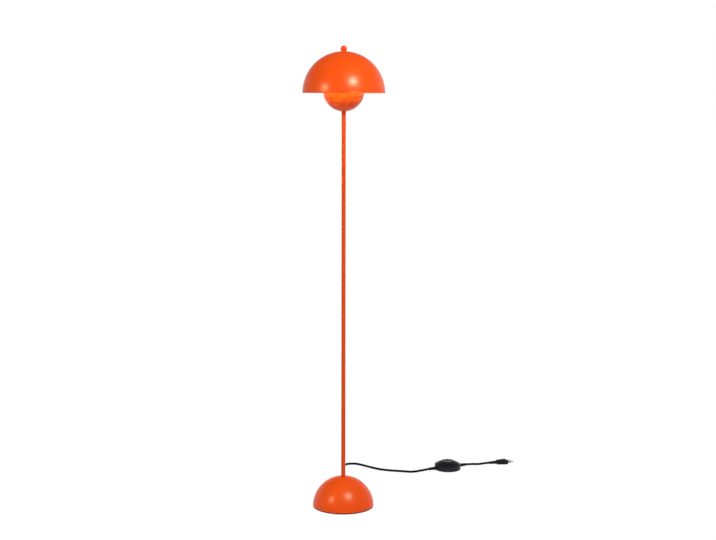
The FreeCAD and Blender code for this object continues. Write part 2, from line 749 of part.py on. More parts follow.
# The bracket is one steel strip: a foot under the lampholder, two arms round the bulb and a head under the
# crown.
strip_thickness = number("bracket_thickness")
half_strip = strip_thickness / 2
foot_height = number(BRACKET_FLOOR) + half_strip
head_height = number(BRACKET_TOP) - half_strip
foot_reach = number(HOLDER_RADIUS)
span = number("bulb_radius + bracket_gap")
head_reach = number("bracket_head")
elbow = foot_height + number("bracket_rise")
shoulder = head_height - number("bracket_shoulder")
right_side = [
    Vector(foot_reach, 0, foot_height),
    Vector(span, 0, elbow),
    Vector(span, 0, shoulder),
    Vector(head_reach, 0, head_height),
]
left_side = [Vector(-point.x, 0, point.z) for point in right_side]
bends = [number("bracket_bend")] * len(right_side)
half_paths = [
    rounded_path([Vector(0, 0, foot_height), *side, Vector(0, 0, head_height)], bends)
    for side in (right_side, left_side)
]
strip = number("bracket_width") / 2
section = Part.makePolygon([
    Vector(0, -strip, foot_height - half_strip),
    Vector(0, strip, foot_height - half_strip),
    Vector(0, strip, foot_height + half_strip),
    Vector(0, -strip, foot_height + half_strip),
    Vector(0, -strip, foot_height - half_strip),
])
arms = [path.makePipeShell([section], True, False) for path in half_paths]
frame_solid = arms[0].fuse(arms[1]).removeSplitter()
foot_drill_start = Vector(0, 0, foot_height - strip_thickness)
head_drill_start = Vector(0, 0, head_height - strip_thickness)
foot_drill = Part.makeCylinder(number(CLEAR_BORE), 2 * strip_thickness, foot_drill_start)
head_drill = Part.makeCylinder(number(STUD_BORE), 2 * strip_thickness, head_drill_start)
feature("shade_bracket", frame_solid.cut(foot_drill).cut(head_drill))

keep(half_shell(
    "shade", "shade_radius", "shade_wall", SHADE_RISE, SHADE_RIM, STUD_BORE, "shade_bead", True,
))
keep(sleeve("shade_seat_ring", SPACER_RADIUS, STUD_BORE, "shade_ring_height", BRACKET_TOP))
STUD_NUT_FLOOR = f"({BRACKET_TOP} - bracket_thickness - stud_nut_thickness)"
hex_nut("shade_stud_nut", "stud_nut_radius", "stud_nut_thickness", "stud_radius + thread_gap", STUD_NUT_FLOOR)
STUD_TOP = f"({SHADE_TOP} + collar_height + stud_grip)"
STUD_FLOOR = f"({STUD_NUT_FLOOR} - stud_tail)"
keep(cylinder("shade_stud", "stud_radius", f"{STUD_TOP} - {STUD_FLOOR}", z=STUD_FLOOR))

# The collar stands on the crown and the ball nut on the collar.
COLLAR_RADIUS = "(ball_radius - collar_inset)"
keep(sleeve("finial_collar", COLLAR_RADIUS, STUD_BORE, "collar_height", SHADE_TOP))
BALL_FLOOR = f"({SHADE_TOP} + collar_height + finial_gap)"
BALL_CENTRE = f"({BALL_FLOOR} + sqrt(ball_radius^2 - {COLLAR_RADIUS}^2))"
ball_blank = solid("Sphere", "ball_blank", z=BALL_CENTRE, Radius="ball_radius")
ball_trim = cylinder("ball_trim", "ball_radius", "ball_radius", z=f"{BALL_FLOOR} - ball_radius")
ball_hole = cylinder("ball_hole", "stud_radius + running_gap", "stud_grip + stud_end_gap", z=BALL_FLOOR)
keep(cut("finial_ball", ball_blank, ball_trim, ball_hole))

# ---------------------------------------------------------------------------------------------------------
# Lampholder and bulb
# ---------------------------------------------------------------------------------------------------------

cap_shoulder = "holder_cap_height / 2"
inner_radius = f"{HOLDER_RADIUS} - holder_wall"
keep(turned("lampholder_cap", [
    (THREAD_BORE, "0"),
    ("holder_neck_radius", "0"),
    (HOLDER_RADIUS, cap_shoulder),
    (HOLDER_RADIUS, "holder_cap_height"),
    (inner_radius, "holder_cap_height"),
    (inner_radius, f"{cap_shoulder} + holder_wall / 2"),
    ("holder_neck_radius - holder_wall / 2", "holder_wall"),
    (THREAD_BORE, "holder_wall"),
], z=HOLDER_FLOOR))
keep(cylinder("lampholder_insert", inner_radius, "insert_thickness", z=f"{HOLDER_JOINT} - insert_thickness"))
keep(sleeve("lampholder_thread", SOCKET_OUTER, SOCKET_BORE, "thread_height", HOLDER_JOINT))
keep(sleeve("lampholder_body", HOLDER_RADIUS, SOCKET_OUTER, "holder_body_height", HOLDER_JOINT))
keep(cylinder("lampholder_contact", "contact_radius", "contact_thickness", z=HOLDER_JOINT))

keep(turned("bulb_cap", [
    ("0", "0"),
    ("contact_radius", "0"),
    ("cap_radius", "cap_tip_height"),
    ("cap_radius", "cap_height"),
    ("0", "cap_height"),
], z=BULB_FLOOR))
BALL_HEIGHT = f"({BULB_FLOOR} + bulb_length - bulb_radius)"
NECK_FLOOR = f"({BULB_FLOOR} + cap_height)"
NECK_HEIGHT = "(bulb_length - bulb_radius - cap_height - bulb_neck_drop)"
NECK_TOP_RADIUS = "sqrt(bulb_radius^2 - bulb_neck_drop^2)"


def envelope(name, inset, floor):
    """The bulb's outer or inner surface: a ball on a widening neck."""
    ball = solid("Sphere", f"{name}_ball", z=BALL_HEIGHT, Radius=f"bulb_radius - {inset}")
    neck = solid(
        "Cone", f"{name}_neck", z=floor,
        Radius1=f"cap_radius - {inset}", Radius2=f"{NECK_TOP_RADIUS} - {inset}", Height=NECK_HEIGHT,
    )
    return fuse(name, ball, neck)


glass_outside = envelope("glass_outside", "0", NECK_FLOOR)
glass_inside = envelope("glass_inside", "bulb_wall", NECK_FLOOR)
keep(cut("bulb_glass", glass_outside, glass_inside))

# ---------------------------------------------------------------------------------------------------------
# Free cord: gland to coil, coil with its tie, coil to switch, switch to plug
# ---------------------------------------------------------------------------------------------------------

TO_COIL = [
    (-40.1, 110.2, 14.0),
    (-46.6, 128.0, 13.4),
    (-48.2, 152.0, 4.9),
    (-48.0, 175.0, 4.5),
]
TO_SWITCH = [
    (-48.0, 189.0, 12.1),
    (-48.0, 213.0, 12.1),
    (-44.0, 241.0, 3.6),
    (-29.0, 270.0, 3.6),
    (-11.0, 302.0, 3.6),
    (-3.5, 340.0, 3.6),
    (-5.5, 377.0, 3.6),
    (-5.0, 410.0, 3.6),
    (15.0, 434.0, 3.6),
    (46.0, 437.0, 3.6),
    (82.0, 411.0, 3.6),
    (114.0, 374.0, 3.6),
    (148.0, 357.0, 3.6),
    (182.0, 350.0, 3.6),
    (214.0, 341.0, 3.6),
    (243.0, 348.0, 7.0),
    (265.1, 358.1, 8.6),
]
TO_PLUG = [
    (386.9, 413.9, 8.6),
    (406.8, 423.0, 7.4),
    (428.0, 430.0, 4.8),
    (446.0, 435.2, 6.6),
    (463.0, 440.0, 6.9),
]
cord("cord_to_coil", TO_COIL)
cord("cord_to_switch", TO_SWITCH)
cord("cord_to_plug", TO_PLUG)

# The coil enters at its left side, winds inwards on the floor, climbs a layer in the half turn where the
# spiral reverses, winds outwards on top and leaves at its left side.
COIL_TURNS = 5
CLIMB_TURNS = 0.5
coil_centre = Vector(number("coil_centre_x"), number("coil_centre_y"), 0)
coil_outer = number("coil_outer")
coil_pitch = number("coil_pitch")
coil_layer = number("coil_layer")
coil_floor = number("coil_height")


def coil_point(turn):
    """The coil's centre line after so many turns, clockwise from the left side."""
    middle = COIL_TURNS / 2
    radius = coil_outer - coil_pitch * (middle - abs(turn - middle))
    climb = min(max((turn - middle) / CLIMB_TURNS + 0.5, 0.0), 1.0)
    angle = math.pi - 2 * math.pi * turn
    height = coil_floor + coil_layer * climb
    return coil_centre + Vector(radius * math.cos(angle), radius * math.sin(angle), height)


coil_nodes = [coil_point(quarter / 4) for quarter in range(COIL_TURNS * 4 + 1)]
coil_path = wound_path(coil_nodes, Vector(0, 1, 0), Vector(0, 1, 0), number("coil_end"))
cord_radius = number("cord_radius")
coil_shape = pipe(coil_path, cord_radius)
report_tube("cord_coil", coil_shape, coil_path, cord_radius)
coil_radii = [edge.Curve.Radius for edge in coil_path.Edges if edge.Curve.TypeId == "Part::GeomCircle"]
GAP_STEP = 2.0
coil_gap = least_gap(coil_path, cord_radius, GAP_STEP)
print(f"cord_coil: least radius {min(coil_radii):.1f}, least gap to itself {coil_gap:.2f}")
feature("cord_coil", coil_shape)

# The tie is a flat strap round the bundle on the coil's right side.
TIE_INNER = f"(coil_outer - {COIL_TURNS / 2} * coil_pitch - cord_radius - tie_gap)"
TIE_OUTER = "(coil_outer - coil_pitch / 2 + cord_radius + tie_gap)"
TIE_FLOOR = "(coil_height - cord_radius - tie_slack)"
TIE_TOP = "(coil_height + coil_layer + cord_radius + tie_slack)"


def tie_box(name, grow):
    """The bundle's box, larger by so much on each side but not in its width."""
    return box(
        name, f"{TIE_OUTER} - {TIE_INNER} + 2 * {grow}", "tie_width", f"{TIE_TOP} - {TIE_FLOOR} + 2 * {grow}",
        f"coil_centre_x + {TIE_INNER} - {grow}", "coil_centre_y - tie_width / 2", f"{TIE_FLOOR} - {grow}",
    )


keep(cut("cord_tie", tie_box("tie_blank", "tie_thickness"), tie_box("tie_hole", "0")))

# ---------------------------------------------------------------------------------------------------------
# Foot switch, in its own frame
# ---------------------------------------------------------------------------------------------------------

switch_frame = frame_at(number("switch_x"), number("switch_y"), 0, number("switch_turn"))

FLOOR_TOP = "(pad_height + switch_floor)"
SEAM = "(pad_height + switch_base_height)"
PAD_RADIUS = "(switch_screw_circle - switch_screw_head - pad_gap)"
BAND_TOP = f"({SEAM} + switch_band)"
# The dome's ball passes through the top of the band and through the button's edge, switch_rise above it.
OPENING = "(button_radius + button_gap)"
DOME_DEPTH = f"((switch_radius^2 - {OPENING}^2 - switch_rise^2) / (2 * switch_rise))"
DOME_RADIUS = f"sqrt(switch_radius^2 + {DOME_DEPTH}^2)"
DOME_CENTRE = f"({BAND_TOP} - {DOME_DEPTH})"
INNER_RADIUS = "(switch_radius - switch_wall)"
BUTTON_TOP = f"({BAND_TOP} + switch_rise + button_proud)"
LIP_RADIUS = "(button_radius + button_lip)"
LIP_TOP = f"({DOME_CENTRE} + sqrt(({DOME_RADIUS} - switch_wall)^2 - {LIP_RADIUS}^2) - button_gap)"
LIP_FLOOR = f"({LIP_TOP} - button_lip_thickness)"
BLOCK_TOP = f"({FLOOR_TOP} + block_height)"
PLUNGER_FLOOR = f"({BLOCK_TOP} + button_travel + plunger_gap)"
HEAD_CEILING = "(pad_height + switch_head_depth)"
SCREW_END = f"({SEAM} + switch_screw_grip)"
SWITCH_SCREWS = 4
SWITCH_SCREW_START = 45.0
ALONG_BACK_X = FreeCAD.Rotation(Vector(0, 1, 0), -90)


def switch_rods(name, radius, height, z):
    """One cylinder at each of the switch's screws."""
    return around(name, SWITCH_SCREWS, "switch_screw_circle", radius, height, z, SWITCH_SCREW_START)


keep(sleeve("switch_pad", PAD_RADIUS, "pad_bore", "pad_height"), placement=switch_frame)

tub = turned("switch_tub", [
    ("0", "0"),
    ("switch_radius - switch_edge", "0"),
    ("switch_radius", "switch_edge"),
    ("switch_radius", "switch_base_height"),
    (INNER_RADIUS, "switch_base_height"),
    (INNER_RADIUS, "switch_floor"),
    ("0", "switch_floor"),
], z="pad_height")
posts = switch_rods("base_post", "post_radius", f"{SEAM} - {FLOOR_TOP}", FLOOR_TOP)
tub_with_posts = fuse("switch_tub_posts", tub, *posts)
post_bores = switch_rods("post_bore", "switch_screw_radius + screw_gap", SEAM, "0")
head_bores = switch_rods("head_bore", "switch_screw_head + screw_gap", "switch_head_depth", "pad_height")
cord_hole = cylinder(
    "switch_cord_hole", f"{NECK_RADIUS} + screw_gap", "4 * switch_radius",
    x="-2 * switch_radius", z="switch_cord_height", rotation=ALONG_X,
)
keep(cut("switch_base", tub_with_posts, *post_bores, *head_bores, cord_hole), placement=switch_frame)

cover_block = cylinder("cover_block", "switch_radius", f"{BUTTON_TOP} - {SEAM}", z=SEAM)
cover_ball = solid("Sphere", "cover_ball", z=DOME_CENTRE, Radius=DOME_RADIUS)
cover_blank = common("cover_blank", cover_block, cover_ball)
hollow_block = cylinder("cover_hollow_block", INNER_RADIUS, f"{BUTTON_TOP} - {SEAM}", z=SEAM)
hollow_ball = solid("Sphere", "cover_hollow_ball", z=DOME_CENTRE, Radius=f"{DOME_RADIUS} - switch_wall")
cover_hollow = common("cover_hollow", hollow_block, hollow_ball)
cover_shell = cut("cover_shell", cover_blank, cover_hollow)
boss_rods = switch_rods("cover_boss", "post_radius", f"{BUTTON_TOP} - {SEAM}", SEAM)
boss_ball = solid("Sphere", "boss_ball", z=DOME_CENTRE, Radius=DOME_RADIUS)
bosses = common("cover_bosses", fuse("cover_boss_rods", *boss_rods), boss_ball)
cover_opening = cylinder("cover_opening", OPENING, f"2 * {BUTTON_TOP}", z="0")
boss_bores = switch_rods("boss_bore", "switch_screw_radius + thread_gap", f"{SCREW_END} - {SEAM}", SEAM)
cover_whole = fuse("cover_whole", cover_shell, bosses)
keep(cut("switch_cover", cover_whole, cover_opening, *boss_bores), placement=switch_frame)

HEAD_FLOOR = "(pad_height + screw_gap)"
SHANK_LENGTH = f"{SCREW_END} - {HEAD_CEILING}"
switch_heads = switch_rods("switch_head", "switch_screw_head", f"{HEAD_CEILING} - {HEAD_FLOOR}", HEAD_FLOOR)
switch_shanks = switch_rods("switch_shank", "switch_screw_radius", SHANK_LENGTH, HEAD_CEILING)
switch_pairs = enumerate(zip(switch_heads, switch_shanks), start=1)
switch_screws = [fuse(f"switch_screw_{i}", *pair) for i, pair in switch_pairs]
keep(group("switch_screws", *switch_screws), placement=switch_frame)

# The button is dished, with a lip that keeps it under the cover and a plunger below.
keep(turned("switch_button", [
    ("0", PLUNGER_FLOOR),
    ("plunger_radius", PLUNGER_FLOOR),
    ("plunger_radius", LIP_FLOOR),
    (LIP_RADIUS, LIP_FLOOR),
    (LIP_RADIUS, LIP_TOP),
    ("button_radius", LIP_TOP),
    ("button_radius", f"{BUTTON_TOP} - button_edge"),
    ("button_radius - button_edge", BUTTON_TOP),
    ("button_dish_radius", BUTTON_TOP),
    ("0", f"{BUTTON_TOP} - button_dish"),
]), placement=switch_frame)

contact_box = box(
    "contact_box", "block_length", "block_width", "block_height",
    "-block_length / 2", "-block_width / 2", FLOOR_TOP,
)
keep(group("switch_contact_block", contact_box), placement=switch_frame)

blades = [
    box(
        f"blade_{i + 1}", "blade_length", "blade_thickness", "blade_height",
        "-blade_length / 2", y, f"{FLOOR_TOP} + blade_lift",
    )
    for i, y in enumerate(("block_width / 2", "-block_width / 2 - blade_thickness"))
]
keep(group("switch_blades", *blades), placement=switch_frame)

# The return spring stands on the contact block and carries the button's lip plate.
SPRING_TURNS = 4
spring_radius = number("spring_radius")
spring_wire = number("spring_wire")
spring_floor = number(f"{BLOCK_TOP} + spring_wire + spring_gap")
spring_rise = number(f"{LIP_FLOOR} - spring_wire - spring_gap") - spring_floor


def spring_point(turn):
    """The spring's centre line after so many turns."""
    angle = 2 * math.pi * turn
    height = spring_floor + spring_rise * turn / SPRING_TURNS
    return Vector(spring_radius * math.cos(angle), spring_radius * math.sin(angle), height)


spring_nodes = [spring_point(quarter / 4) for quarter in range(SPRING_TURNS * 4 + 1)]
spring_path = wound_path(spring_nodes, Vector(0, 1, 0), Vector(0, 1, 0), 0)
spring_shape = pipe(spring_path, spring_wire)
report_tube("switch_spring", spring_shape, spring_path, spring_wire)
feature("switch_spring", spring_shape, switch_frame)

# Strain reliefs on both sides, seated on the round wall, and the cord's two ends inside them.
sleeves = []
tails = []
for side, direction, turn in (("left", "-", ALONG_BACK_X), ("right", "", ALONG_X)):
    neck = cylinder(
        f"sleeve_neck_{side}", NECK_RADIUS, "switch_wall + switch_neck_reach",
        x=f"{direction}({INNER_RADIUS} - switch_neck_reach)", z="switch_cord_height", rotation=turn,
    )
    taper = solid(
        "Cone", f"sleeve_taper_{side}", x=f"{direction}switch_radius", z="switch_cord_height", rotation=turn,
        Radius1=SLEEVE_ROOT, Radius2=SLEEVE_MOUTH, Height="switch_sleeve_length",
    )
    bore = cylinder(
        f"sleeve_bore_{side}", "cord_radius", "2 * switch_radius",
        x=f"{direction}block_length / 2", z="switch_cord_height", rotation=turn,
    )
    sleeves.append(cut(f"sleeve_{side}", fuse(f"sleeve_whole_{side}", neck, taper), bore))
    tails.append(cylinder(
        f"tail_{side}", "cord_radius", "switch_radius + switch_sleeve_length - block_length / 2",
        x=f"{direction}block_length / 2", z="switch_cord_height", rotation=turn,
    ))
seat_trim = cylinder("sleeve_seat_trim", "switch_radius", "3 * switch_cord_height", z="0")
neck_trim = cylinder(
    "sleeve_neck_trim", NECK_RADIUS, "2 * switch_radius",
    x="-switch_radius", z="switch_cord_height", rotation=ALONG_X,
)
seat_cut = cut("sleeve_seat_cut", seat_trim, neck_trim)
keep(cut("switch_sleeves", group("sleeve_pair", *sleeves), seat_cut), placement=switch_frame)
keep(group("switch_cord_ends", *tails), placement=switch_frame)

# ---------------------------------------------------------------------------------------------------------
# Plug, in its own frame
# ---------------------------------------------------------------------------------------------------------

PLUG_HEIGHT = "(plug_thickness / 2 + plug_lift)"
plug_frame = frame_at(number("plug_x"), number("plug_y"), number(PLUG_HEIGHT), number("plug_turn"))

plug_taper = solid(
    "Cone", "plug_taper", rotation=ALONG_X,
    Radius1=SLEEVE_MOUTH, Radius2=SLEEVE_ROOT, Height="plug_sleeve_length",
)
keep(group("plug_sleeve", plug_taper), placement=plug_frame)

PLUG_FACE = "(plug_sleeve_length + plug_length)"
half_side = [
    ("plug_sleeve_length", "plug_neck_width / 2"),
    ("plug_sleeve_length + plug_shoulder", "plug_shoulder_width / 2"),
    (f"{PLUG_FACE} - plug_flat", "plug_width / 2"),
    (PLUG_FACE, "plug_width / 2"),
]
outline = [(x, f"-({y})") for x, y in half_side] + half_side[::-1]
plug = plate_body("plug_body", outline, "plug_thickness")
doc.recompute()
plug_blank = plug.Tip
rounding = plug.newObject("PartDesign::Fillet", "plug_body_rounding")
rounding.Base = (plug_blank, [f"Edge{i + 1}" for i in range(len(plug_blank.Shape.Edges))])
rounding.setExpression("Radius", formula("plug_edge"))
plug_low = FreeCAD.Placement(Vector(0, 0, -number("plug_thickness") / 2), FreeCAD.Rotation())
keep(plug, placement=plug_frame.multiply(plug_low))

pins = [
    cylinder(f"pin_{i + 1}", "pin_radius", "pin_length", x=PLUG_FACE, y=y, rotation=ALONG_X)
    for i, y in enumerate(("-pin_spacing / 2", "pin_spacing / 2"))
]
keep(group("plug_pins", *pins), placement=plug_frame)

# ---------------------------------------------------------------------------------------------------------
# Check and write
# ---------------------------------------------------------------------------------------------------------

doc.recompute()
for item in doc.Objects:
    if {"Invalid", "Error"} & set(item.State):
        raise RuntimeError(f"{item.Label} did not compute: {item.State}")
os.makedirs("parts", exist_ok=True)
for label, item in parts.items():
    shape = item.Shape
    if shape.isNull() or not shape.isValid() or not shape.Solids:
        raise RuntimeError(f"{label} is not a valid solid")
    shape.exportStep(os.path.join("parts", f"{label}.step"))
print(f"{len(parts)} sub-parts, stem stands at {number(STEM_FOOT):.2f}, shade rim at {number(SHADE_RIM):.2f}")
ball_top = number(f"{BALL_CENTRE} + ball_radius")
print(f"ball top at {ball_top:.2f}, cord mouth at {number(MOUTH):.2f}")
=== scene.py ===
# %% [markdown]
# # A mushroom floor lamp in orange lacquer
#
# A half-sphere shade hangs over a smaller bowl on a thin stem, and a weighted half-sphere base stands on a
# black rubber ring. A black cord with a round foot switch lies on the floor behind it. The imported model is
# loaded first and stays where it is: it says where every piece goes. Each visible piece is then made again as
# a smooth surface with its own finish. All lengths are metres, +Z is up, and the floor is z = 0.

import json
import math

import bmesh
import bpy
import numpy as np
from mathutils import Matrix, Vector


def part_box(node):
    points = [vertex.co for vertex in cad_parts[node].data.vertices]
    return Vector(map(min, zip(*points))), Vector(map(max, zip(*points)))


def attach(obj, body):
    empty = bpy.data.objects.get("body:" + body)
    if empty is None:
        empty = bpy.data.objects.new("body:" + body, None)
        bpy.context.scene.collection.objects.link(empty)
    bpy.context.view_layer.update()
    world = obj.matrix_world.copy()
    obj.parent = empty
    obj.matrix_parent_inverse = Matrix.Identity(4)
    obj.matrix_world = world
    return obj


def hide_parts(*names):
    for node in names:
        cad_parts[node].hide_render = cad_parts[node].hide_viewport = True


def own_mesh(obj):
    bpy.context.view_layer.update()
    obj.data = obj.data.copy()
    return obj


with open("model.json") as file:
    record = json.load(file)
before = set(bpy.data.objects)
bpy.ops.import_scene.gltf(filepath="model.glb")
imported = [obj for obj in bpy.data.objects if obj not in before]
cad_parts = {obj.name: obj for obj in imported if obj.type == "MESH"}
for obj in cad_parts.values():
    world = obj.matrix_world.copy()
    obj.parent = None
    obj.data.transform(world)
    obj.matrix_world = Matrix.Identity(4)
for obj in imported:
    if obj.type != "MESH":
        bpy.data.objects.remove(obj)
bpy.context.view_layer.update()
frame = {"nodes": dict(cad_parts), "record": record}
nodes = frame["nodes"]
MM = 0.001

# %% [markdown]
# ## Camera
#
# The photograph shows the shade's rim edge on and the base from above, so the camera stands at about the
# rim's height and tilts down a little. A long lens from almost four metres gives the same shapes. The stem of
# the photograph isn't quite upright, so the camera rolls by a seventh of a degree. It comes first because
# everything else is judged through it.

# %% Camera
CAMERA_PLACE = (0.0395, -3.835, 1.181)
CAMERA_TILT = 7.37
CAMERA_ROLL = -0.15
LENS = 68.93

camera_data = bpy.data.cameras.new("camera")
camera_data.lens = LENS
camera_data.sensor_width = 36.0
camera = bpy.data.objects.new("camera", camera_data)
camera.location = CAMERA_PLACE
camera.rotation_euler = (math.radians(90.0 - CAMERA_TILT), math.radians(CAMERA_ROLL), 0.0)
bpy.context.scene.collection.objects.link(camera)
bpy.context.scene.camera = camera
bpy.context.scene.view_settings.view_transform = "Standard"
print("camera at", CAMERA_PLACE, "tilted down", CAMERA_TILT, "rolled", CAMERA_ROLL)

# %% [markdown]
# ## Building a material out of nodes
#
# Every finish here is a graph of shader nodes. Writing such a graph takes three things over and over: add a
# node, set its plain values and link its inputs. One helper does all three: a value that is itself a node's
# output is linked, and anything else is written on the socket.


# %% Node helper
def add_node(tree, kind, sockets=None, **settings):
    """Adds a node, sets its own settings, and fills its sockets: an output is linked, a value is written."""
    node = tree.nodes.new(kind)
    for name, value in settings.items():
        setattr(node, name, value)
    for name, value in (sockets or {}).items():
        socket = node.inputs[name]
        if isinstance(value, bpy.types.NodeSocket):
            tree.links.new(value, socket)
        else:
            socket.default_value = value
    return node


# %% [markdown]
# ## Effects that several finishes share
#
# Paint, plastic, rubber and metal all have a little unevenness: a grain that catches light, patches that are
# handled more, a colour that drifts a few percent, and dust on what faces up. Each effect is one node group
# with named inputs, so that every material can use it with its own strength. A group gives only a colour, a
# mask or a height, and the shader itself stays in the material.


# %% Group helper
def new_group(name, inputs, outputs):
    """An empty node group with its sockets, each given as a name with its kind: Vector, Float or Color."""
    group = bpy.data.node_groups.new(name, "ShaderNodeTree")
    for side, sockets in (("INPUT", inputs), ("OUTPUT", outputs)):
        for label, kind in sockets.items():
            group.interface.new_socket(name=label, in_out=side, socket_type="NodeSocket" + kind)
    print("group", name)
    return group, add_node(group, "NodeGroupInput").outputs, add_node(group, "NodeGroupOutput").inputs


# %% Grain: a fine height with a coarser one under it
COARSE_SHARE = 0.22  # the coarser grain's scale, as a share of the fine one's
grain_group, given, result = new_group(
    "grain", {"Vector": "Vector", "Scale": "Float", "Softness": "Float"}, {"Height": "Float"},
)
fine = add_node(
    grain_group, "ShaderNodeTexNoise", {"Vector": given["Vector"], "Scale": given["Scale"], "Detail": 3.0},
)
coarse_scale = add_node(grain_group, "ShaderNodeMath", {0: given["Scale"], 1: COARSE_SHARE}, operation="MULTIPLY")
coarse = add_node(grain_group, "ShaderNodeTexNoise", {"Vector": given["Vector"], "Scale": coarse_scale.outputs[0]})
mixed = add_node(
    grain_group, "ShaderNodeMix",
    {"Factor": given["Softness"], "A": fine.outputs["Fac"], "B": coarse.outputs["Fac"]},
)
grain_group.links.new(mixed.outputs["Result"], result["Height"])

# %% Handling: roughness that goes up and down in patches
handling_group, given, result = new_group(
    "handling",
    {"Vector": "Vector", "Scale": "Float", "Smooth": "Float", "Rough": "Float"}, {"Roughness": "Float"},
)
patches = add_node(
    handling_group, "ShaderNodeTexNoise", {"Vector": given["Vector"], "Scale": given["Scale"], "Detail": 4.0},
)
spread = add_node(handling_group, "ShaderNodeMapRange", {
    "Value": patches.outputs["Fac"], "From Min": 0.3, "From Max": 0.7,
    "To Min": given["Smooth"], "To Max": given["Rough"],
})
handling_group.links.new(spread.outputs["Result"], result["Roughness"])

# %% Drift: a colour that wanders towards a second one
drift_group, given, result = new_group(
    "drift", {"Vector": "Vector", "Scale": "Float", "Color": "Color", "Other": "Color"}, {"Color": "Color"},
)
clouds = add_node(
    drift_group, "ShaderNodeTexNoise", {"Vector": given["Vector"], "Scale": given["Scale"], "Detail": 2.0},
)
wander = add_node(
    drift_group, "ShaderNodeMapRange",
    {"Value": clouds.outputs["Fac"], "From Min": 0.35, "From Max": 0.65},
    interpolation_type="SMOOTHSTEP",
)
drifted = add_node(
    drift_group, "ShaderNodeMix",
    {"Factor": wander.outputs["Result"], "A": given["Color"], "B": given["Other"]},
    data_type="RGBA",
)
drift_group.links.new(drifted.outputs["Result"], result["Color"])

# %% Dust: specks that lie on what faces up
SPECKS_PER_METRE = 900.0
dust_group, given, result = new_group("dust", {"Vector": "Vector", "Amount": "Float"}, {"Mask": "Float"})
specks = add_node(
    dust_group, "ShaderNodeTexNoise", {"Vector": given["Vector"], "Scale": SPECKS_PER_METRE, "Detail": 2.0},
)
scattered = add_node(
    dust_group, "ShaderNodeMapRange", {"Value": specks.outputs["Fac"], "From Min": 0.62, "From Max": 0.78},
)
facing = add_node(dust_group, "ShaderNodeNewGeometry")
split = add_node(dust_group, "ShaderNodeSeparateXYZ", {"Vector": facing.outputs["Normal"]})
upward = add_node(dust_group, "ShaderNodeMapRange", {"Value": split.outputs["Z"], "From Min": 0.2, "From Max": 1.0})
lying = add_node(
    dust_group, "ShaderNodeMath", {0: scattered.outputs["Result"], 1: upward.outputs["Result"]}, operation="MULTIPLY",
)
mask = add_node(dust_group, "ShaderNodeMath", {0: lying.outputs[0], 1: given["Amount"]}, operation="MULTIPLY")
dust_group.links.new(mask.outputs[0], result["Mask"])

# %% [markdown]
# ## One recipe for opaque finishes
#
# A painted, moulded or plated surface is the same graph with other numbers: two near colours that drift into
# each other, some dust, patches of roughness and a bump from the grain. So one function builds it, and the
# numbers say whether it is lacquer, rubber or zinc. Numbers that are the same all over, such as metallic or
# the index of refraction, are set on the shader's own sockets.

# %% Opaque finish
DUST_COLOUR = (0.55, 0.52, 0.48, 1.0)
PATCHES_PER_METRE = 14.0


def use_group(tree, group, sockets):
    """Puts a node group in the material with these values, and gives its output."""
    return add_node(tree, "ShaderNodeGroup", sockets, node_tree=group).outputs[0]


def finish(name, colour, other, roughness, grain, bump, dust=0.0, drift=9.0, stretch=(1, 1, 1), **plain):
    """An opaque material: colour pair, roughness pair, grain per metre, bump height in metres, dust share."""
    material = bpy.data.materials.new(name)
    material.use_nodes = True
    tree = material.node_tree
    shader = tree.nodes["Principled BSDF"]
    place = add_node(tree, "ShaderNodeTexCoord").outputs["Object"]
    along = add_node(tree, "ShaderNodeMapping", {"Vector": place, "Scale": stretch}).outputs["Vector"]
    drifting = use_group(
        tree, drift_group, {"Vector": place, "Scale": drift, "Color": (*colour, 1), "Other": (*other, 1)},
    )
    dusty = use_group(tree, dust_group, {"Vector": place, "Amount": dust})
    surface = add_node(tree, "ShaderNodeMix", {"Factor": dusty, "A": drifting, "B": DUST_COLOUR}, data_type="RGBA")
    rough = use_group(tree, handling_group, {
        "Vector": along, "Scale": PATCHES_PER_METRE, "Smooth": roughness[0], "Rough": roughness[1],
    })
    height = use_group(tree, grain_group, {"Vector": along, "Scale": grain, "Softness": 0.5})
    relief = add_node(tree, "ShaderNodeBump", {"Height": height, "Strength": 1.0, "Distance": bump})
    tree.links.new(surface.outputs["Result"], shader.inputs["Base Color"])
    tree.links.new(rough, shader.inputs["Roughness"])
    tree.links.new(relief.outputs["Normal"], shader.inputs["Normal"])
    for socket, value in plain.items():
        shader.inputs[socket.replace("_", " ").title().replace("Ior", "IOR")].default_value = value
    return material


# %% [markdown]
# ## Lacquer, enamel, rubber and plastic
#
# The lamp is sprayed with a satin orange lacquer: lamps show in it as soft bright spots a few centimetres
# wide, not as sharp mirrors, so its roughness is about a third. Its colour stays deep right up to the
# outline, so its specular level is low, and the pale room hardly shows in it. The stem has a darker copy of
# the orange, which is painted shade on it. Inside, the shade is white to throw the light down.
# The cord and the foot switch are black plastics: the cord is nearly matt, and the switch has a low shine.

# %% Painted finishes
orange = finish(
    "orange_lacquer", (0.97, 0.093, 0.001), (0.94, 0.085, 0.001), (0.31, 0.36), 520.0, 0.000012,
    dust=0.01, ior=1.45, specular_ior_level=0.22,
)
# The stem's colour is the orange darkened: painted shade, not a lacquer of its own.
shaded_stem_orange = finish(
    "stem_lacquer_painted_shade", (0.80, 0.080, 0.003), (0.76, 0.072, 0.003), (0.3, 0.36), 520.0, 0.000012,
    dust=0.01, ior=1.45, specular_ior_level=0.16,
)
white = finish("white_enamel", (0.86, 0.85, 0.82), (0.84, 0.83, 0.79), (0.3, 0.4), 480.0, 0.00001, ior=1.5)
print("painted:", orange.name, shaded_stem_orange.name, white.name)

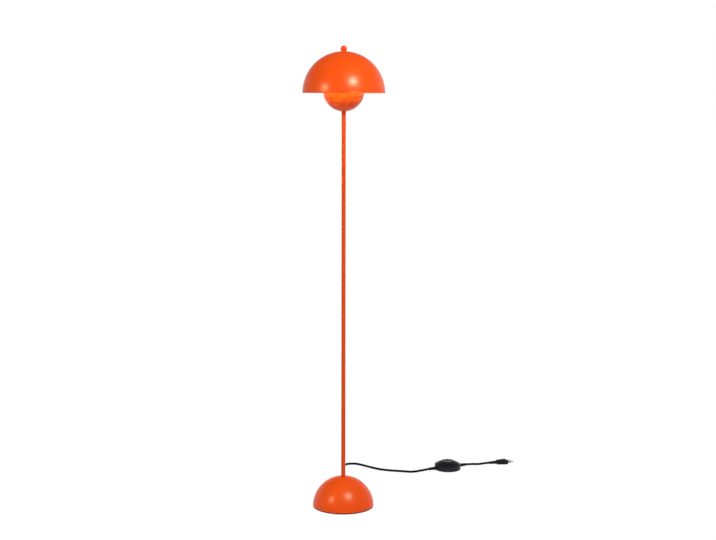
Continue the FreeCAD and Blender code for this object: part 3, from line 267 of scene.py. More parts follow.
# %% Rubber and plastic finishes
rubber = finish(
    "black_rubber", (0.006, 0.006, 0.007), (0.010, 0.010, 0.010), (0.6, 0.75), 1500.0, 0.00006,
    dust=0.05, specular_ior_level=0.2,
)
sheath = finish(
    "cord_sheath", (0.003, 0.003, 0.003), (0.006, 0.006, 0.006), (0.4, 0.5), 1100.0, 0.00003,
    dust=0.02, drift=30.0, specular_ior_level=0.12,
)
black = finish(
    "black_plastic", (0.005, 0.005, 0.006), (0.009, 0.009, 0.010), (0.4, 0.5), 1300.0, 0.00002,
    dust=0.03, specular_ior_level=0.2,
)
charcoal = finish(
    "charcoal_plastic", (0.010, 0.010, 0.018), (0.014, 0.014, 0.024), (0.3, 0.38), 1400.0, 0.00001,
    dust=0.03, specular_ior_level=0.2,
)
cream = finish("white_plastic", (0.78, 0.77, 0.73), (0.72, 0.71, 0.67), (0.4, 0.5), 900.0, 0.00002)
ceramic = finish("ceramic", (0.80, 0.79, 0.75), (0.74, 0.73, 0.68), (0.45, 0.6), 800.0, 0.00004)
print("plastics:", rubber.name, sheath.name, black.name, charcoal.name, cream.name, ceramic.name)

# %% [markdown]
# ## Metals
#
# Few metal pieces show, and only to someone who looks up into the shade or under the base: zinc-plated steel
# for the bracket, nuts and screws, brass in the lampholder, nickel on the plug's pins and a cast iron weight.
# They differ in colour and in how fine their grain is. Drawn and turned metal has its grain in one direction,
# so there the grain is stretched.

# %% Metal finishes
zinc = finish(
    "zinc_steel", (0.56, 0.57, 0.58), (0.48, 0.49, 0.51), (0.3, 0.42), 700.0, 0.00001,
    stretch=(1, 1, 6), metallic=1.0,
)
brass = finish("brass", (0.72, 0.50, 0.20), (0.62, 0.42, 0.16), (0.22, 0.32), 700.0, 0.00001, metallic=1.0)
nickel = finish("nickel", (0.66, 0.64, 0.60), (0.60, 0.58, 0.54), (0.16, 0.25), 900.0, 0.000005, metallic=1.0)
iron = finish("cast_iron", (0.05, 0.05, 0.052), (0.09, 0.085, 0.08), (0.6, 0.8), 420.0, 0.0004, metallic=0.6)
print("metals:", zinc.name, brass.name, nickel.name, iron.name)

# %% [markdown]
# ## Opal glass that glows
#
# The lamp is lit in the photograph: the top of the lower bowl is bright with light that comes back from the
# white inside of the shade. An opal bulb glows evenly, so the glass gets an emission of its own. A lamp inside
# clear glass would show as a hard point, and an emission needs no rays that find their way through a wall.

# %% Glowing glass
GLOW = {"Color": (1.0, 0.93, 0.72, 1.0), "Other": (1.0, 0.91, 0.69, 1.0)}
MILK = {"Color": (0.9, 0.89, 0.86, 1.0), "Other": (0.86, 0.85, 0.82, 1.0)}
CLOUDS_PER_METRE = 25.0
GLOW_STRENGTH = 44.0

opal = bpy.data.materials.new("opal_glass")
opal.use_nodes = True
tree = opal.node_tree
shader = tree.nodes["Principled BSDF"]
place = add_node(tree, "ShaderNodeTexCoord").outputs["Object"]
for pair, socket in ((GLOW, "Emission Color"), (MILK, "Base Color")):
    clouded = use_group(tree, drift_group, {"Vector": place, "Scale": CLOUDS_PER_METRE, **pair})
    tree.links.new(clouded, shader.inputs[socket])
shader.inputs["Emission Strength"].default_value = GLOW_STRENGTH
shader.inputs["Roughness"].default_value = 0.2
print("glass:", opal.name)

# %% [markdown]
# ## Turned shapes as grids
#
# Nearly all of this lamp is spun or turned on a lathe: an outline carried round an axis. As a grid, a point
# depends on two numbers, the place along the outline and the angle, so numpy works out all points at once:
# x = r cos a, y = r sin a, z = h. The faces join each point with its neighbours, and the grid closes on
# itself round the axis. Blender has a Spin tool and a Screw modifier for this, but a grid keeps the formula
# in sight and gives even, smooth faces.


# %% Grid to mesh
def grid_object(name, points, material, body, closed_rows):
    """Makes a mesh of a (rows, columns, 3) array of points, with a face between each four neighbours."""
    rows, columns = points.shape[:2]
    index = np.arange(rows * columns).reshape(rows, columns)
    below = np.roll(index, -1, axis=0)[: rows if closed_rows else rows - 1]
    here = index[: len(below)]
    faces = np.stack([here, np.roll(here, -1, axis=1), np.roll(below, -1, axis=1), below], axis=-1).reshape(-1, 4)
    mesh = bpy.data.meshes.new(name)
    mesh.from_pydata(points.reshape(-1, 3).tolist(), [], faces.tolist())
    return finished(name, mesh, material, body)


def finished(name, mesh, material, body):
    """Merges doubled points, turns faces outwards, smooths them and puts the piece on its body."""
    work = bmesh.new()
    work.from_mesh(mesh)
    bmesh.ops.remove_doubles(work, verts=work.verts, dist=1e-7)
    bmesh.ops.recalc_face_normals(work, faces=work.faces)
    if work.calc_volume(signed=True) < 0:
        bmesh.ops.reverse_faces(work, faces=work.faces)
    work.to_mesh(mesh)
    work.free()
    mesh.polygons.foreach_set("use_smooth", np.ones(len(mesh.polygons), bool))
    for each in material if isinstance(material, (list, tuple)) else [material]:
        mesh.materials.append(each)
    piece = bpy.data.objects.new(name, mesh)
    bpy.context.scene.collection.objects.link(piece)
    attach(piece, body)
    print(f"{name}: {len(mesh.polygons)} faces")
    return piece


# %% Outline helpers
def arc(radius, start, end, count, centre=(0.0, 0.0)):
    """Points of a circle's arc, (r, h) = centre + radius (cos a, sin a), from start to end in degrees."""
    angle = np.radians(np.linspace(start, end, count))
    return np.column_stack([centre[0] + radius * np.cos(angle), centre[1] + radius * np.sin(angle)])


def softened(corners, fillets, steps=5):
    """A closed outline with rounded corners: near each one, (1-t)^2 A + 2t(1-t) P + t^2 B from A to B."""
    corners = np.asarray(corners, float)
    fillets = np.broadcast_to(np.asarray(fillets, float), len(corners))[:, None]
    back = np.roll(corners, 1, axis=0) - corners
    ahead = np.roll(corners, -1, axis=0) - corners
    first = corners + back * np.minimum(fillets / np.linalg.norm(back, axis=1, keepdims=True), 0.45)
    last = corners + ahead * np.minimum(fillets / np.linalg.norm(ahead, axis=1, keepdims=True), 0.45)
    t = np.linspace(0, 1, steps)[:, None, None]
    curve = (1 - t) ** 2 * first + 2 * t * (1 - t) * corners + t ** 2 * last
    return curve.transpose(1, 0, 2).reshape(-1, 2)


# %% Lathe
def lathe(name, outline, material, body, axis=None, segments=128, closed=True):
    """Turns a closed outline of (radius, height) about Z, or about the axis that a 4 x 4 matrix gives."""
    angle = np.linspace(0, 2 * np.pi, segments, endpoint=False)
    radius, height = outline[:, 0, None], outline[:, 1, None]
    points = np.stack([radius * np.cos(angle), radius * np.sin(angle), height + 0 * angle], axis=-1)
    if axis is not None:
        points = points @ axis[:3, :3].T + axis[:3, 3]
    return grid_object(name, points, material, body, closed_rows=closed)


# %% [markdown]
# ## Shade
#
# The shade is a steel disc spun over a half-sphere form, with its rim rolled inwards so that it is stiff and
# has no sharp edge. Outside it is orange, inside white. A Solidify modifier could give it its wall, but then
# the rolled rim would be lost, so the outline runs all the way round the sheet: from the hole in the crown
# over the outside, round the rolled rim and back along the inside.

# %% Half-sphere shell
SEAT = 7.2 * MM  # radius of the flat round the hole in a crown
WALL = 1.2 * MM
STUD_HOLE = 3.1 * MM
ROD_HOLE = 5.1 * MM
ROLL_POINTS = 14
ROLL_PAINTED = 10  # how many of the roll's points the orange reaches


def shell_outline(radius, hole, bead, wall=WALL, rings=56):
    """A half sphere's sheet about the origin, crown up: outside, rolled rim, inside, as (radius, height)."""
    crown = math.sqrt(radius ** 2 - SEAT ** 2)
    seat_angle = math.degrees(math.acos(SEAT / radius))
    inner = radius - wall
    inner_seat = math.sqrt(inner ** 2 - (crown - wall) ** 2)
    inner_angle = math.degrees(math.acos(inner_seat / inner))
    rim_angle = math.degrees(math.asin(bead / radius))
    outside = arc(radius, seat_angle, rim_angle, rings)
    roll = arc(bead, 0, -250, ROLL_POINTS, centre=(radius - bead, bead))
    inside = arc(inner, rim_angle + 0.8, inner_angle, rings)
    outline = np.vstack([[(hole, crown)], outside, roll, inside, [(hole, crown - wall)]])
    return outline, len(outside) + ROLL_PAINTED


def paint_inside(piece, outline, outside_rings, segments):
    """Gives the faces of the inside rings the second material."""
    rings = np.repeat(np.arange(len(outline)), segments)
    inside = (rings >= outside_rings) & (rings < len(outline) - 1)
    piece.data.polygons.foreach_set("material_index", inside.astype(np.int32))


# %% Shade
SEGMENTS = 192
shade_low, shade_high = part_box("shade")
shade_radius = shade_high.x
outline, outside_rings = shell_outline(shade_radius, STUD_HOLE, bead=1.1 * MM)
shade_outline = outline + (0.0, shade_low.z)
shade = lathe("shade_shell", shade_outline, [orange, white], "lamp", segments=SEGMENTS)
paint_inside(shade, shade_outline, outside_rings, SEGMENTS)
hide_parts("shade")
print(f"shade radius {shade_radius * 1000:.1f} mm, rim at {shade_low.z * 1000:.1f} mm")

# %% [markdown]
# ## Lower bowl
#
# The bowl is the same spinning with the crown down and a smaller form. It hides the lampholder and glows
# where the shade sends light onto it. The outline is the shade's with its heights turned over.

# %% Lower bowl
bowl_low, bowl_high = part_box("lower_bowl")
outline, outside_rings = shell_outline(bowl_high.x, ROD_HOLE, bead=1.0 * MM, rings=48)
bowl_outline = outline * (1.0, -1.0) + (0.0, bowl_high.z)
bowl = lathe("bowl_shell", bowl_outline, [orange, white], "lamp", segments=SEGMENTS)
paint_inside(bowl, bowl_outline, outside_rings, SEGMENTS)
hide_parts("lower_bowl")

# %% [markdown]
# ## Base
#
# The base is a third spun ball cap, a little less than half a ball, with a flat seat for the stem. Its lower
# edge isn't rolled: it stands on the rubber ring, which hides the cut. So its outline is an arc about a centre
# 4 mm below that cut, and a second arc inside it for the wall.

# %% Base shell
base_low, base_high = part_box("base_shell")
BASE_BALL = 87.5 * MM
BASE_SINK = 4.0 * MM  # how far the ball's centre lies below the cut
BASE_WALL = 1.5 * MM
BROKEN = 0.4 * MM  # radius of the broken edge at the cut
base_centre = base_low.z - BASE_SINK
crown = base_high.z - base_centre
inner_ball = BASE_BALL - BASE_WALL
seat_angle = math.degrees(math.acos(SEAT / BASE_BALL))
cut_angle = math.degrees(math.asin((BASE_SINK + BROKEN) / BASE_BALL))
inner_cut = math.degrees(math.asin(BASE_SINK / inner_ball))
inner_angle = math.degrees(math.asin((crown - BASE_WALL) / inner_ball))
rim_radius = math.sqrt(BASE_BALL ** 2 - (BASE_SINK + BROKEN) ** 2)
edge = arc(BROKEN, 0, -90, 5, centre=(rim_radius - BROKEN, BASE_SINK + BROKEN))
base_outline = np.vstack([
    [(ROD_HOLE, crown)], arc(BASE_BALL, seat_angle, cut_angle, 64), edge[1:],
    arc(inner_ball, inner_cut, inner_angle, 48), [(ROD_HOLE, crown - BASE_WALL)],
]) + (0.0, base_centre)
base = lathe("base_dome", base_outline, orange, "lamp", segments=SEGMENTS)
print(f"base rim {rim_radius * 1000:.2f} mm, box {base_high.x * 1000:.2f} mm")
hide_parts("base_shell")

# %% Foot ring
ring_low, ring_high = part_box("foot_ring")
RING_WIDTH = 10 * MM
ring_inner = ring_high.x - RING_WIDTH
ring_corners = [
    (ring_inner, 0.0), (ring_high.x, 0.0), (ring_high.x, ring_high.z), (ring_inner, ring_high.z),
]
foot_ring = lathe("foot_ring_rubber", softened(ring_corners, 0.9 * MM), rubber, "lamp", segments=SEGMENTS)
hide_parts("foot_ring")

# %% [markdown]
# ## Stem
#
# The stem is a plain tube of 12 mm in the orange lacquer, drawn in a darker copy of it as painted shade. Its
# ends are turned square with a broken edge, so the joint with base and bowl shows as a fine line.

# %% Stem
stem_low, stem_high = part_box("stem_tube")
STEM_BORE = 5.05 * MM
stem_corners = [
    (stem_high.x, stem_low.z), (stem_high.x, stem_high.z), (STEM_BORE, stem_high.z), (STEM_BORE, stem_low.z),
]
stem = lathe("stem", softened(stem_corners, 0.25 * MM), shaded_stem_orange, "lamp", segments=64)
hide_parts("stem_tube")

# %% [markdown]
# ## Finial
#
# A ball nut holds the shade down, on a short collar. It is turned from bar: a ball with a flat underside and
# a blind hole for the stud, so its outline goes from the hole's rim to the flat's edge and over the top.

# %% Collar and ball
collar_low, collar_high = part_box("finial_collar")
collar_corners = [
    (STUD_HOLE, collar_low.z), (collar_high.x, collar_low.z),
    (collar_high.x, collar_high.z), (STUD_HOLE, collar_high.z),
]
collar = lathe("finial_neck", softened(collar_corners, 0.35 * MM), orange, "lamp", segments=96)
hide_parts("finial_collar")

ball_low, ball_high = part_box("finial_ball")
BALL_RADIUS = 9.0 * MM
ball_centre = ball_high.z - BALL_RADIUS
flat_angle = math.degrees(math.asin((ball_low.z - ball_centre) / BALL_RADIUS))
BLIND_HOLE = 3.08 * MM
BLIND_DEPTH = 11.0 * MM
ball_outline = np.vstack([
    [(0.0, ball_low.z + BLIND_DEPTH), (BLIND_HOLE, ball_low.z + BLIND_DEPTH), (BLIND_HOLE, ball_low.z)],
    arc(BALL_RADIUS, flat_angle, 90, 48, centre=(0.0, ball_centre)),
])
ball = lathe("finial_knob", ball_outline, orange, "finial", segments=96, closed=False)
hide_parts("finial_ball")

# %% [markdown]
# ## Bulb
#
# The bulb is blown glass: a ball whose neck flows into the screw cap in one curve. A cone would leave a
# crease, so the neck is a quadratic curve that leaves the cap straight up and meets the ball along its own
# direction. The glass has a wall, and its open end sits in the cap.

# %% Bulb
glass_low, glass_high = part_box("bulb_glass")
glass_radius = glass_high.x
glass_centre = glass_high.z - glass_radius
NECK_RADIUS = 13.2 * MM
MEET_ANGLE = -33.4
GLASS_WALL = 1.2 * MM


def glass_outline(inset):
    """From the neck's foot to the top: (1-t)^2 A + 2t(1-t) C + t^2 B, then the ball's arc."""
    radius = glass_radius - inset
    foot = np.array([NECK_RADIUS - inset, glass_low.z])
    meet = arc(radius, MEET_ANGLE, MEET_ANGLE, 1, centre=(0.0, glass_centre))[0]
    slope = math.tan(math.radians(90 + MEET_ANGLE))
    corner = np.array([foot[0], meet[1] - (meet[0] - foot[0]) * slope])
    t = np.linspace(0, 1, 24)[:, None]
    neck = (1 - t) ** 2 * foot + 2 * t * (1 - t) * corner + t ** 2 * meet
    return np.vstack([neck, arc(radius, MEET_ANGLE, 90, 40, centre=(0.0, glass_centre))[1:]])


bulb_outline = np.vstack([glass_outline(0.0), glass_outline(GLASS_WALL)[::-1]])
bulb = lathe("bulb_envelope", bulb_outline, opal, "bulb", segments=96)
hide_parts("bulb_glass")

# %% [markdown]
# ## Cord
#
# The cord is one smooth line. A NURBS spline of order 3 bends evenly between given points, the way a
# flexible lead does. It leaves the strain relief at the back of the base, comes down to the floor, goes once
# through a tied coil of the spare length close behind the base, hops over it and runs out to the foot switch.
# The coil's turns are more points of the same spline: two layers of flat spiral, inwards below and outwards
# above. A spline of this kind cuts inside its points, so the spiral's points stand out by that share. Behind
# the stem, a few points stand up to 14 mm off the imported tube, so that the line follows the photograph.

# %% Cord routes
CORD = 7.0 * MM
TO_COIL = [
    (-0.0401, 0.1102, 0.0140), (-0.0466, 0.1280, 0.0134), (-0.0482, 0.1520, 0.0049), (-0.0480, 0.1750, 0.0045),
]
TO_SWITCH = [
    (-0.0480, 0.1890, 0.0121), (-0.0480, 0.2130, 0.0121), (-0.0440, 0.2410, 0.0036), (-0.0235, 0.2600, 0.0036),
    (-0.0045, 0.2850, 0.0036), (-0.0035, 0.3400, 0.0036), (-0.0056, 0.3910, 0.0036), (-0.0066, 0.4170, 0.0036),
    (0.0105, 0.4360, 0.0036), (0.0360, 0.4375, 0.0036), (0.0560, 0.4215, 0.0036), (0.0830, 0.3945, 0.0036),
    (0.1140, 0.3690, 0.0036), (0.1480, 0.3570, 0.0036), (0.1820, 0.3500, 0.0036), (0.2140, 0.3410, 0.0036),
    (0.2430, 0.3480, 0.0070), (0.2651, 0.3581, 0.0086),
]
TO_PLUG = [
    (0.3869, 0.4139, 0.0086), (0.4068, 0.4230, 0.0074), (0.4280, 0.4300, 0.0048), (0.4460, 0.4352, 0.0066),
    (0.4630, 0.4400, 0.0069),
]

COIL_CENTRE = (-0.0015, 0.182)
COIL_OUTER = 0.0465  # radius of the outermost turn
COIL_PITCH = 0.0075  # from one turn to the next in a layer
COIL_LAYER = 0.0076  # from the lower layer up to the other
COIL_FLOOR = 0.0045
COIL_TURNS = 5
POINTS_PER_TURN = 16


def coil_point(turn):
    """The coil's line after so many turns, clockwise from its left side: inwards, up a layer, outwards."""
    middle = COIL_TURNS / 2
    radius = COIL_OUTER - COIL_PITCH * (middle - abs(turn - middle))
    outside = radius * 4 / (3 + math.cos(2 * math.pi / POINTS_PER_TURN))
    climb = min(max((turn - middle) * 2 + 0.5, 0.0), 1.0)
    angle = math.pi - 2 * math.pi * turn
    x = COIL_CENTRE[0] + outside * math.cos(angle)
    y = COIL_CENTRE[1] + outside * math.sin(angle)
    return x, y, COIL_FLOOR + COIL_LAYER * climb


coil = [coil_point(step / POINTS_PER_TURN) for step in range(COIL_TURNS * POINTS_PER_TURN + 1)]
print(f"coil of {COIL_TURNS} turns, {len(coil)} points")


# %% Cord pieces
def cord_piece(name, points):
    """A tube along one NURBS spline. Its order and end points are set after the points are there."""
    curve = bpy.data.curves.new(name, "CURVE")
    curve.dimensions = "3D"
    curve.bevel_depth = CORD / 2
    curve.bevel_resolution = 6
    curve.use_fill_caps = True
    curve.resolution_u = 6
    spline = curve.splines.new("NURBS")
    spline.points.add(len(points) - 1)
    for point, place in zip(spline.points, points):
        point.co = (*place, 1.0)
    spline.order_u = 3
    spline.use_endpoint_u = True
    curve.materials.append(sheath)
    piece = bpy.data.objects.new(name, curve)
    bpy.context.scene.collection.objects.link(piece)
    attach(piece, "lamp")
    print(f"{name}: {len(points)} points")
    return piece


lead = cord_piece("lead_to_switch", TO_COIL + coil + TO_SWITCH)
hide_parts("cord_to_coil", "cord_coil", "cord_to_switch")
tail = cord_piece("lead_to_plug", TO_PLUG)
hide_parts("cord_to_plug")

# %% [markdown]
# ## Axes of the gland, the switch and the plug
#
# Three pieces lie along their own axes: the strain relief points out of the base, the switch lies across the
# floor in the cord, and the plug lies at its end. A 4 x 4 matrix holds each place and direction, so a shape
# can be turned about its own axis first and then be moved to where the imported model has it.

# %% Frames
def frame_matrix(place, forward, up):
    """A frame whose Z runs forward and whose Y is as near to up as it can be."""
    ahead = np.array(forward) / np.linalg.norm(forward)
    side = np.cross(up, ahead)
    side = side / np.linalg.norm(side)
    matrix = np.eye(4)
    matrix[:3, 0], matrix[:3, 1], matrix[:3, 2], matrix[:3, 3] = side, np.cross(ahead, side), ahead, place
    return matrix


UP = (0.0, 0.0, 1.0)
OUTLET_ANGLE = math.radians(90 + 20.0)
outlet_direction = (math.cos(OUTLET_ANGLE), math.sin(OUTLET_ANGLE), 0.0)
OUTLET_HEIGHT = 14.0 * MM
outlet_frame = frame_matrix((0.0, 0.0, OUTLET_HEIGHT), outlet_direction, UP)

SWITCH_PLACE = np.array([0.326, 0.386, 0.0])
SWITCH_ANGLE = math.radians(24.6)
switch_direction = np.array([math.cos(SWITCH_ANGLE), math.sin(SWITCH_ANGLE), 0.0])
switch_frame = frame_matrix(SWITCH_PLACE, UP, switch_direction)

PLUG_PLACE = (0.463, 0.440, 0.0069)
PLUG_ANGLE = math.radians(15.8)
plug_direction = (math.cos(PLUG_ANGLE), math.sin(PLUG_ANGLE), 0.0)
plug_frame = frame_matrix(PLUG_PLACE, plug_direction, UP)
print("outlet", outlet_direction, "switch", switch_direction, "plug", plug_direction)

# %% [markdown]
# ## Strain reliefs
#
# Where the cord leaves a housing, a tapered plastic sleeve keeps it from kinking. Its outline is a straight
# taper with shallow grooves cut round it, which let it flex: the radius is the taper less a groove's depth
# wherever a cosine wave is low.


# %% Ribbed sleeve
def ribbed(root, mouth, start, length, bore, ribs=7, depth=0.55 * MM):
    """A taper from root to mouth with rings round it: r = taper - depth (1 - cos(2 pi ribs t)) / 2 squared."""
    t = np.linspace(0, 1, ribs * 12 + 1)
    wave = ((1 - np.cos(2 * np.pi * ribs * t)) / 2) ** 2
    fade = np.clip(np.minimum(t, 1 - t) * 12, 0, 1)
    radius = root + (mouth - root) * t - depth * wave * fade
    outside = np.column_stack([radius, start + length * t])
    lip = arc(LIP, 0, 90, 4, centre=(mouth - LIP, start + length))
    return np.vstack([outside, lip, [(bore, start + length + LIP), (bore, start)]])


BORE = CORD / 2 + 0.02 * MM
ROOT = 5.6 * MM  # a sleeve's radius at its housing
MOUTH = 4.3 * MM  # and at its far end
SHANK = 4.6 * MM  # and inside the housing's wall
LIP = 0.4 * MM
FACE = math.sqrt(BASE_BALL ** 2 - (OUTLET_HEIGHT - base_centre) ** 2)
FLANGE = 2.5 * MM
GLAND_LENGTH = 28.6 * MM

# %% Gland
FLANGE_RADIUS = 8.0 * MM
FLANGE_EDGE = 0.8 * MM
SHANK_LENGTH = 8.0 * MM
FLANGE_BACK = 1.9 * MM  # how far the flange reaches back to meet the curved shell
flange = np.vstack([
    [(BORE, FACE - SHANK_LENGTH), (SHANK, FACE - SHANK_LENGTH), (SHANK, FACE - FLANGE_BACK)],
    [(FLANGE_RADIUS, FACE - FLANGE_BACK)],
    arc(FLANGE_EDGE, 0, 90, 5, centre=(FLANGE_RADIUS - FLANGE_EDGE, FACE + FLANGE - FLANGE_EDGE)),
    [(ROOT + FLANGE_EDGE, FACE + FLANGE)],
])
taper = ribbed(ROOT, MOUTH, FACE + FLANGE, GLAND_LENGTH - LIP, BORE)
gland = lathe("cord_outlet", np.vstack([flange, taper[:-1]]), black, "lamp", axis=outlet_frame, segments=64)
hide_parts("cord_gland")

# %% [markdown]
# ## Foot switch
#
# The switch is two moulded halves, a tub and a domed cover, that meet in a fine seam, with a dished button in
# the middle. The dome is part of a ball that passes through the top of the band and the button's edge. The
# button has a shallow ring on it so that a foot finds its middle, and the gap round it lets it sink by 3 mm.

# %% Switch sizes
SWITCH_RADIUS = 41.0 * MM
SWITCH_WALL = 2.2 * MM
cover_low, cover_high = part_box("switch_cover")
SEAM = cover_low.z
BAND = 2.5 * MM
OPENING = 20.35 * MM
band_top = SEAM + BAND
rise = cover_high.z - band_top
depth = (SWITCH_RADIUS ** 2 - OPENING ** 2 - rise ** 2) / (2 * rise)
dome_radius = math.hypot(SWITCH_RADIUS, depth)
dome_centre = band_top - depth
print(f"switch seam {SEAM:.4f}, dome radius {dome_radius:.4f}")


# %% Cover
def dome_height(radius, ball=dome_radius):
    """The height of the dome's ball at a radius: centre + sqrt(R^2 - r^2)."""
    return dome_centre + np.sqrt(ball ** 2 - radius ** 2)


SHOULDER = 1.2 * MM
inner_dome = dome_radius - SWITCH_WALL
inner_wall = SWITCH_RADIUS - SWITCH_WALL
outer_r = np.linspace(SWITCH_RADIUS - SHOULDER, OPENING + 0.6 * MM, 28)
inner_r = np.linspace(OPENING, inner_wall, 20)
shoulder_height = dome_height(SWITCH_RADIUS - SHOULDER) - 1.1 * MM
cover_outline = np.vstack([
    [(inner_wall, SEAM + 0.02 * MM), (SWITCH_RADIUS - 0.5 * MM, SEAM + 0.02 * MM)],
    [(SWITCH_RADIUS - 0.12 * MM, SEAM + 0.2 * MM), (SWITCH_RADIUS, SEAM + 0.5 * MM)],
    arc(SHOULDER, 0, 50, 6, centre=(SWITCH_RADIUS - SHOULDER, shoulder_height)),
    np.column_stack([outer_r, dome_height(outer_r)])[2:],
    [(OPENING + 0.15 * MM, dome_height(OPENING) - 0.2 * MM), (OPENING, dome_height(OPENING) - 0.6 * MM)],
    np.column_stack([inner_r, dome_height(inner_r, inner_dome)]),
])
cover = lathe("switch_dome", cover_outline, charcoal, "lamp", axis=switch_frame)
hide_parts("switch_cover")


# %% Tub
def smooth_copy(name, node, material, body, angle=30.0):
    """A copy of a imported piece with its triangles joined, smooth but for edges sharper than the angle."""
    mesh = nodes[node].data.copy()
    mesh.materials.clear()
    piece = finished(name, mesh, material, body)
    mesh.set_sharp_from_angle(angle=math.radians(angle))
    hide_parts(node)
    return piece


tub = smooth_copy("switch_tub", "switch_base", charcoal, "lamp")
pad = smooth_copy("switch_foot", "switch_pad", rubber, "lamp")

# %% Button
button_low, button_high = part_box("switch_button")
BUTTON_RADIUS = 20.0 * MM
BUTTON_EDGE = 1.2 * MM
STALK_RADIUS = 3.0 * MM
SKIRT_RADIUS = 22.4 * MM
SKIRT_TOP = 24.1 * MM
SKIRT_FLOOR = 22.53 * MM
DISH, DISH_RADIUS = 0.8 * MM, 15 * MM
RING, RING_RADIUS, RING_SPREAD = 0.35 * MM, 6.5 * MM, 0.7 * MM
top_r = np.linspace(BUTTON_RADIUS - BUTTON_EDGE, 0.0, 60)
dished = button_high.z - DISH * np.clip(1 - (top_r / DISH_RADIUS) ** 2, 0, 1)
ring = RING * np.exp(-(((top_r - RING_RADIUS) / RING_SPREAD) ** 2))
button_outline = np.vstack([
    [(0.0, button_low.z), (STALK_RADIUS, button_low.z), (STALK_RADIUS, SKIRT_FLOOR)],
    [(SKIRT_RADIUS, SKIRT_FLOOR), (SKIRT_RADIUS, SKIRT_TOP), (BUTTON_RADIUS, SKIRT_TOP)],
    arc(BUTTON_EDGE, 0, 90, 6, centre=(BUTTON_RADIUS - BUTTON_EDGE, button_high.z - BUTTON_EDGE)),
    np.column_stack([top_r, dished + ring])[1:],
])
button = lathe("switch_press", button_outline, charcoal, "switch_button", axis=switch_frame, closed=False)
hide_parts("switch_button")

# %% Switch sleeves
SLEEVE_LENGTH = 26.0 * MM
SLEEVE_HEIGHT = 8.6 * MM
neck_start, neck_end = inner_wall - 3 * MM, SWITCH_RADIUS - 1.5 * MM
neck = [(BORE, neck_start), (SHANK, neck_start), (SHANK, neck_end), (ROOT, neck_end)]
outline = ribbed(ROOT, MOUTH, SWITCH_RADIUS, SLEEVE_LENGTH - LIP, BORE, ribs=6)
for name, side in (("switch_sleeve_in", -1), ("switch_sleeve_out", 1)):
    sleeve_frame = frame_matrix(SWITCH_PLACE + (0.0, 0.0, SLEEVE_HEIGHT), side * switch_direction, UP)
    sleeve = lathe(name, np.vstack([neck, outline[:-1]]), black, "lamp", axis=sleeve_frame, segments=64)
    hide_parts("switch_sleeves")

# %% [markdown]
# ## Tie round the coil
#
# A flat strap holds the spare cord. Its line is a rounded rectangle round the bundle, and its section is a
# thin strip, so the strap is a grid too: the place round the bundle and the place round the strip's section.
# A superellipse, |x/a|^n + |z/b|^n = 1, gives the rounded rectangle in one formula.

# %% Tie
tie_low, tie_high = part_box("cord_tie")
STRAP = 0.7 * MM
HALF_STRAP = 4.0 * MM
around = np.linspace(0, 2 * np.pi, 96, endpoint=False)[:, None]
POWER = 6.0
half_x, half_z = (tie_high.x - tie_low.x) / 2, (tie_high.z - tie_low.z) / 2
section = softened(
    [(-HALF_STRAP, 0.0), (HALF_STRAP, 0.0), (HALF_STRAP, -STRAP), (-HALF_STRAP, -STRAP)], 0.25 * MM,
)
across, inward = section[:, 0][None, :], section[:, 1][None, :]
reach = (np.abs(np.cos(around)) ** POWER + np.abs(np.sin(around)) ** POWER) ** (-1 / POWER)
tie_x = (tie_low.x + tie_high.x) / 2 + (half_x + inward) * reach * np.cos(around)
tie_z = (tie_low.z + tie_high.z) / 2 + (half_z + inward) * reach * np.sin(around)
tie_y = (tie_low.y + tie_high.y) / 2 + across + 0 * around
tie = grid_object("cord_strap", np.stack([tie_x, tie_y, tie_z], axis=-1), black, "lamp", closed_rows=True)
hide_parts("cord_tie")

# %% [markdown]
# ## Plug
#
# The plug is moulded onto the cord: a slim body that widens towards the pins, with all its edges well
# rounded. Each cross-section is a superellipse whose half width and half thickness change along the plug, so
# the body is a grid of sections. Thin grip ridges cross its flat faces.

# %% Plug body
PLUG_SLEEVE = 24.0 * MM
PLUG_LENGTH = 36.0 * MM
PLUG_EDGE = 3.0 * MM
GRIP_DEPTH, GRIP_PITCH = 0.3 * MM, 2.6 * MM
GRIP_FROM, GRIP_TO = 0.3, 0.66
along = np.linspace(0, 1, 73)[:, None]
turn = np.linspace(0, 2 * np.pi, 96, endpoint=False)[None, :]
ends = np.clip(np.minimum(along, 1 - along) * PLUG_LENGTH / PLUG_EDGE, 0, 1)
rounding = np.sqrt(1 - (1 - ends) ** 2)
half_width = (6.5 + 8.5 * np.sin(np.clip(along / 0.85, 0, 1) * np.pi / 2)) * MM - PLUG_EDGE * (1 - rounding)
half_thick = 6.8 * MM - PLUG_EDGE * (1 - rounding)
ridges = np.clip(np.sin((along - GRIP_FROM) * PLUG_LENGTH / GRIP_PITCH * 2 * np.pi), 0, 1)
grip = GRIP_DEPTH * ridges * ((along > GRIP_FROM) & (along < GRIP_TO))
SQUARENESS = 5.0
reach = (np.abs(np.cos(turn)) ** SQUARENESS + np.abs(np.sin(turn)) ** SQUARENESS) ** (-1 / SQUARENESS)
side_way = half_width * reach * np.cos(turn)
up_way = (half_thick - grip) * reach * np.sin(turn)
body_points = np.stack([side_way, up_way, PLUG_SLEEVE + PLUG_LENGTH * along + 0 * turn], axis=-1)
start_cap = body_points[:1] * (0, 0, 1)
end_cap = body_points[-1:] * (0, 0, 1)
body_points = np.concatenate([start_cap, body_points, end_cap]) @ plug_frame[:3, :3].T + plug_frame[:3, 3]
plug = grid_object("plug_moulding", body_points, black, "lamp", closed_rows=False)
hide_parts("plug_body")

# %% Plug sleeve
plug_sleeve_outline = ribbed(ROOT, MOUTH, -PLUG_SLEEVE - 1.0 * MM, PLUG_SLEEVE + 0.6 * MM, 0.0, ribs=6)
back_frame = frame_matrix(PLUG_PLACE, [-value for value in plug_direction], UP)
plug_sleeve = lathe("plug_relief", plug_sleeve_outline, black, "lamp", axis=back_frame, segments=64)
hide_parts("plug_sleeve")

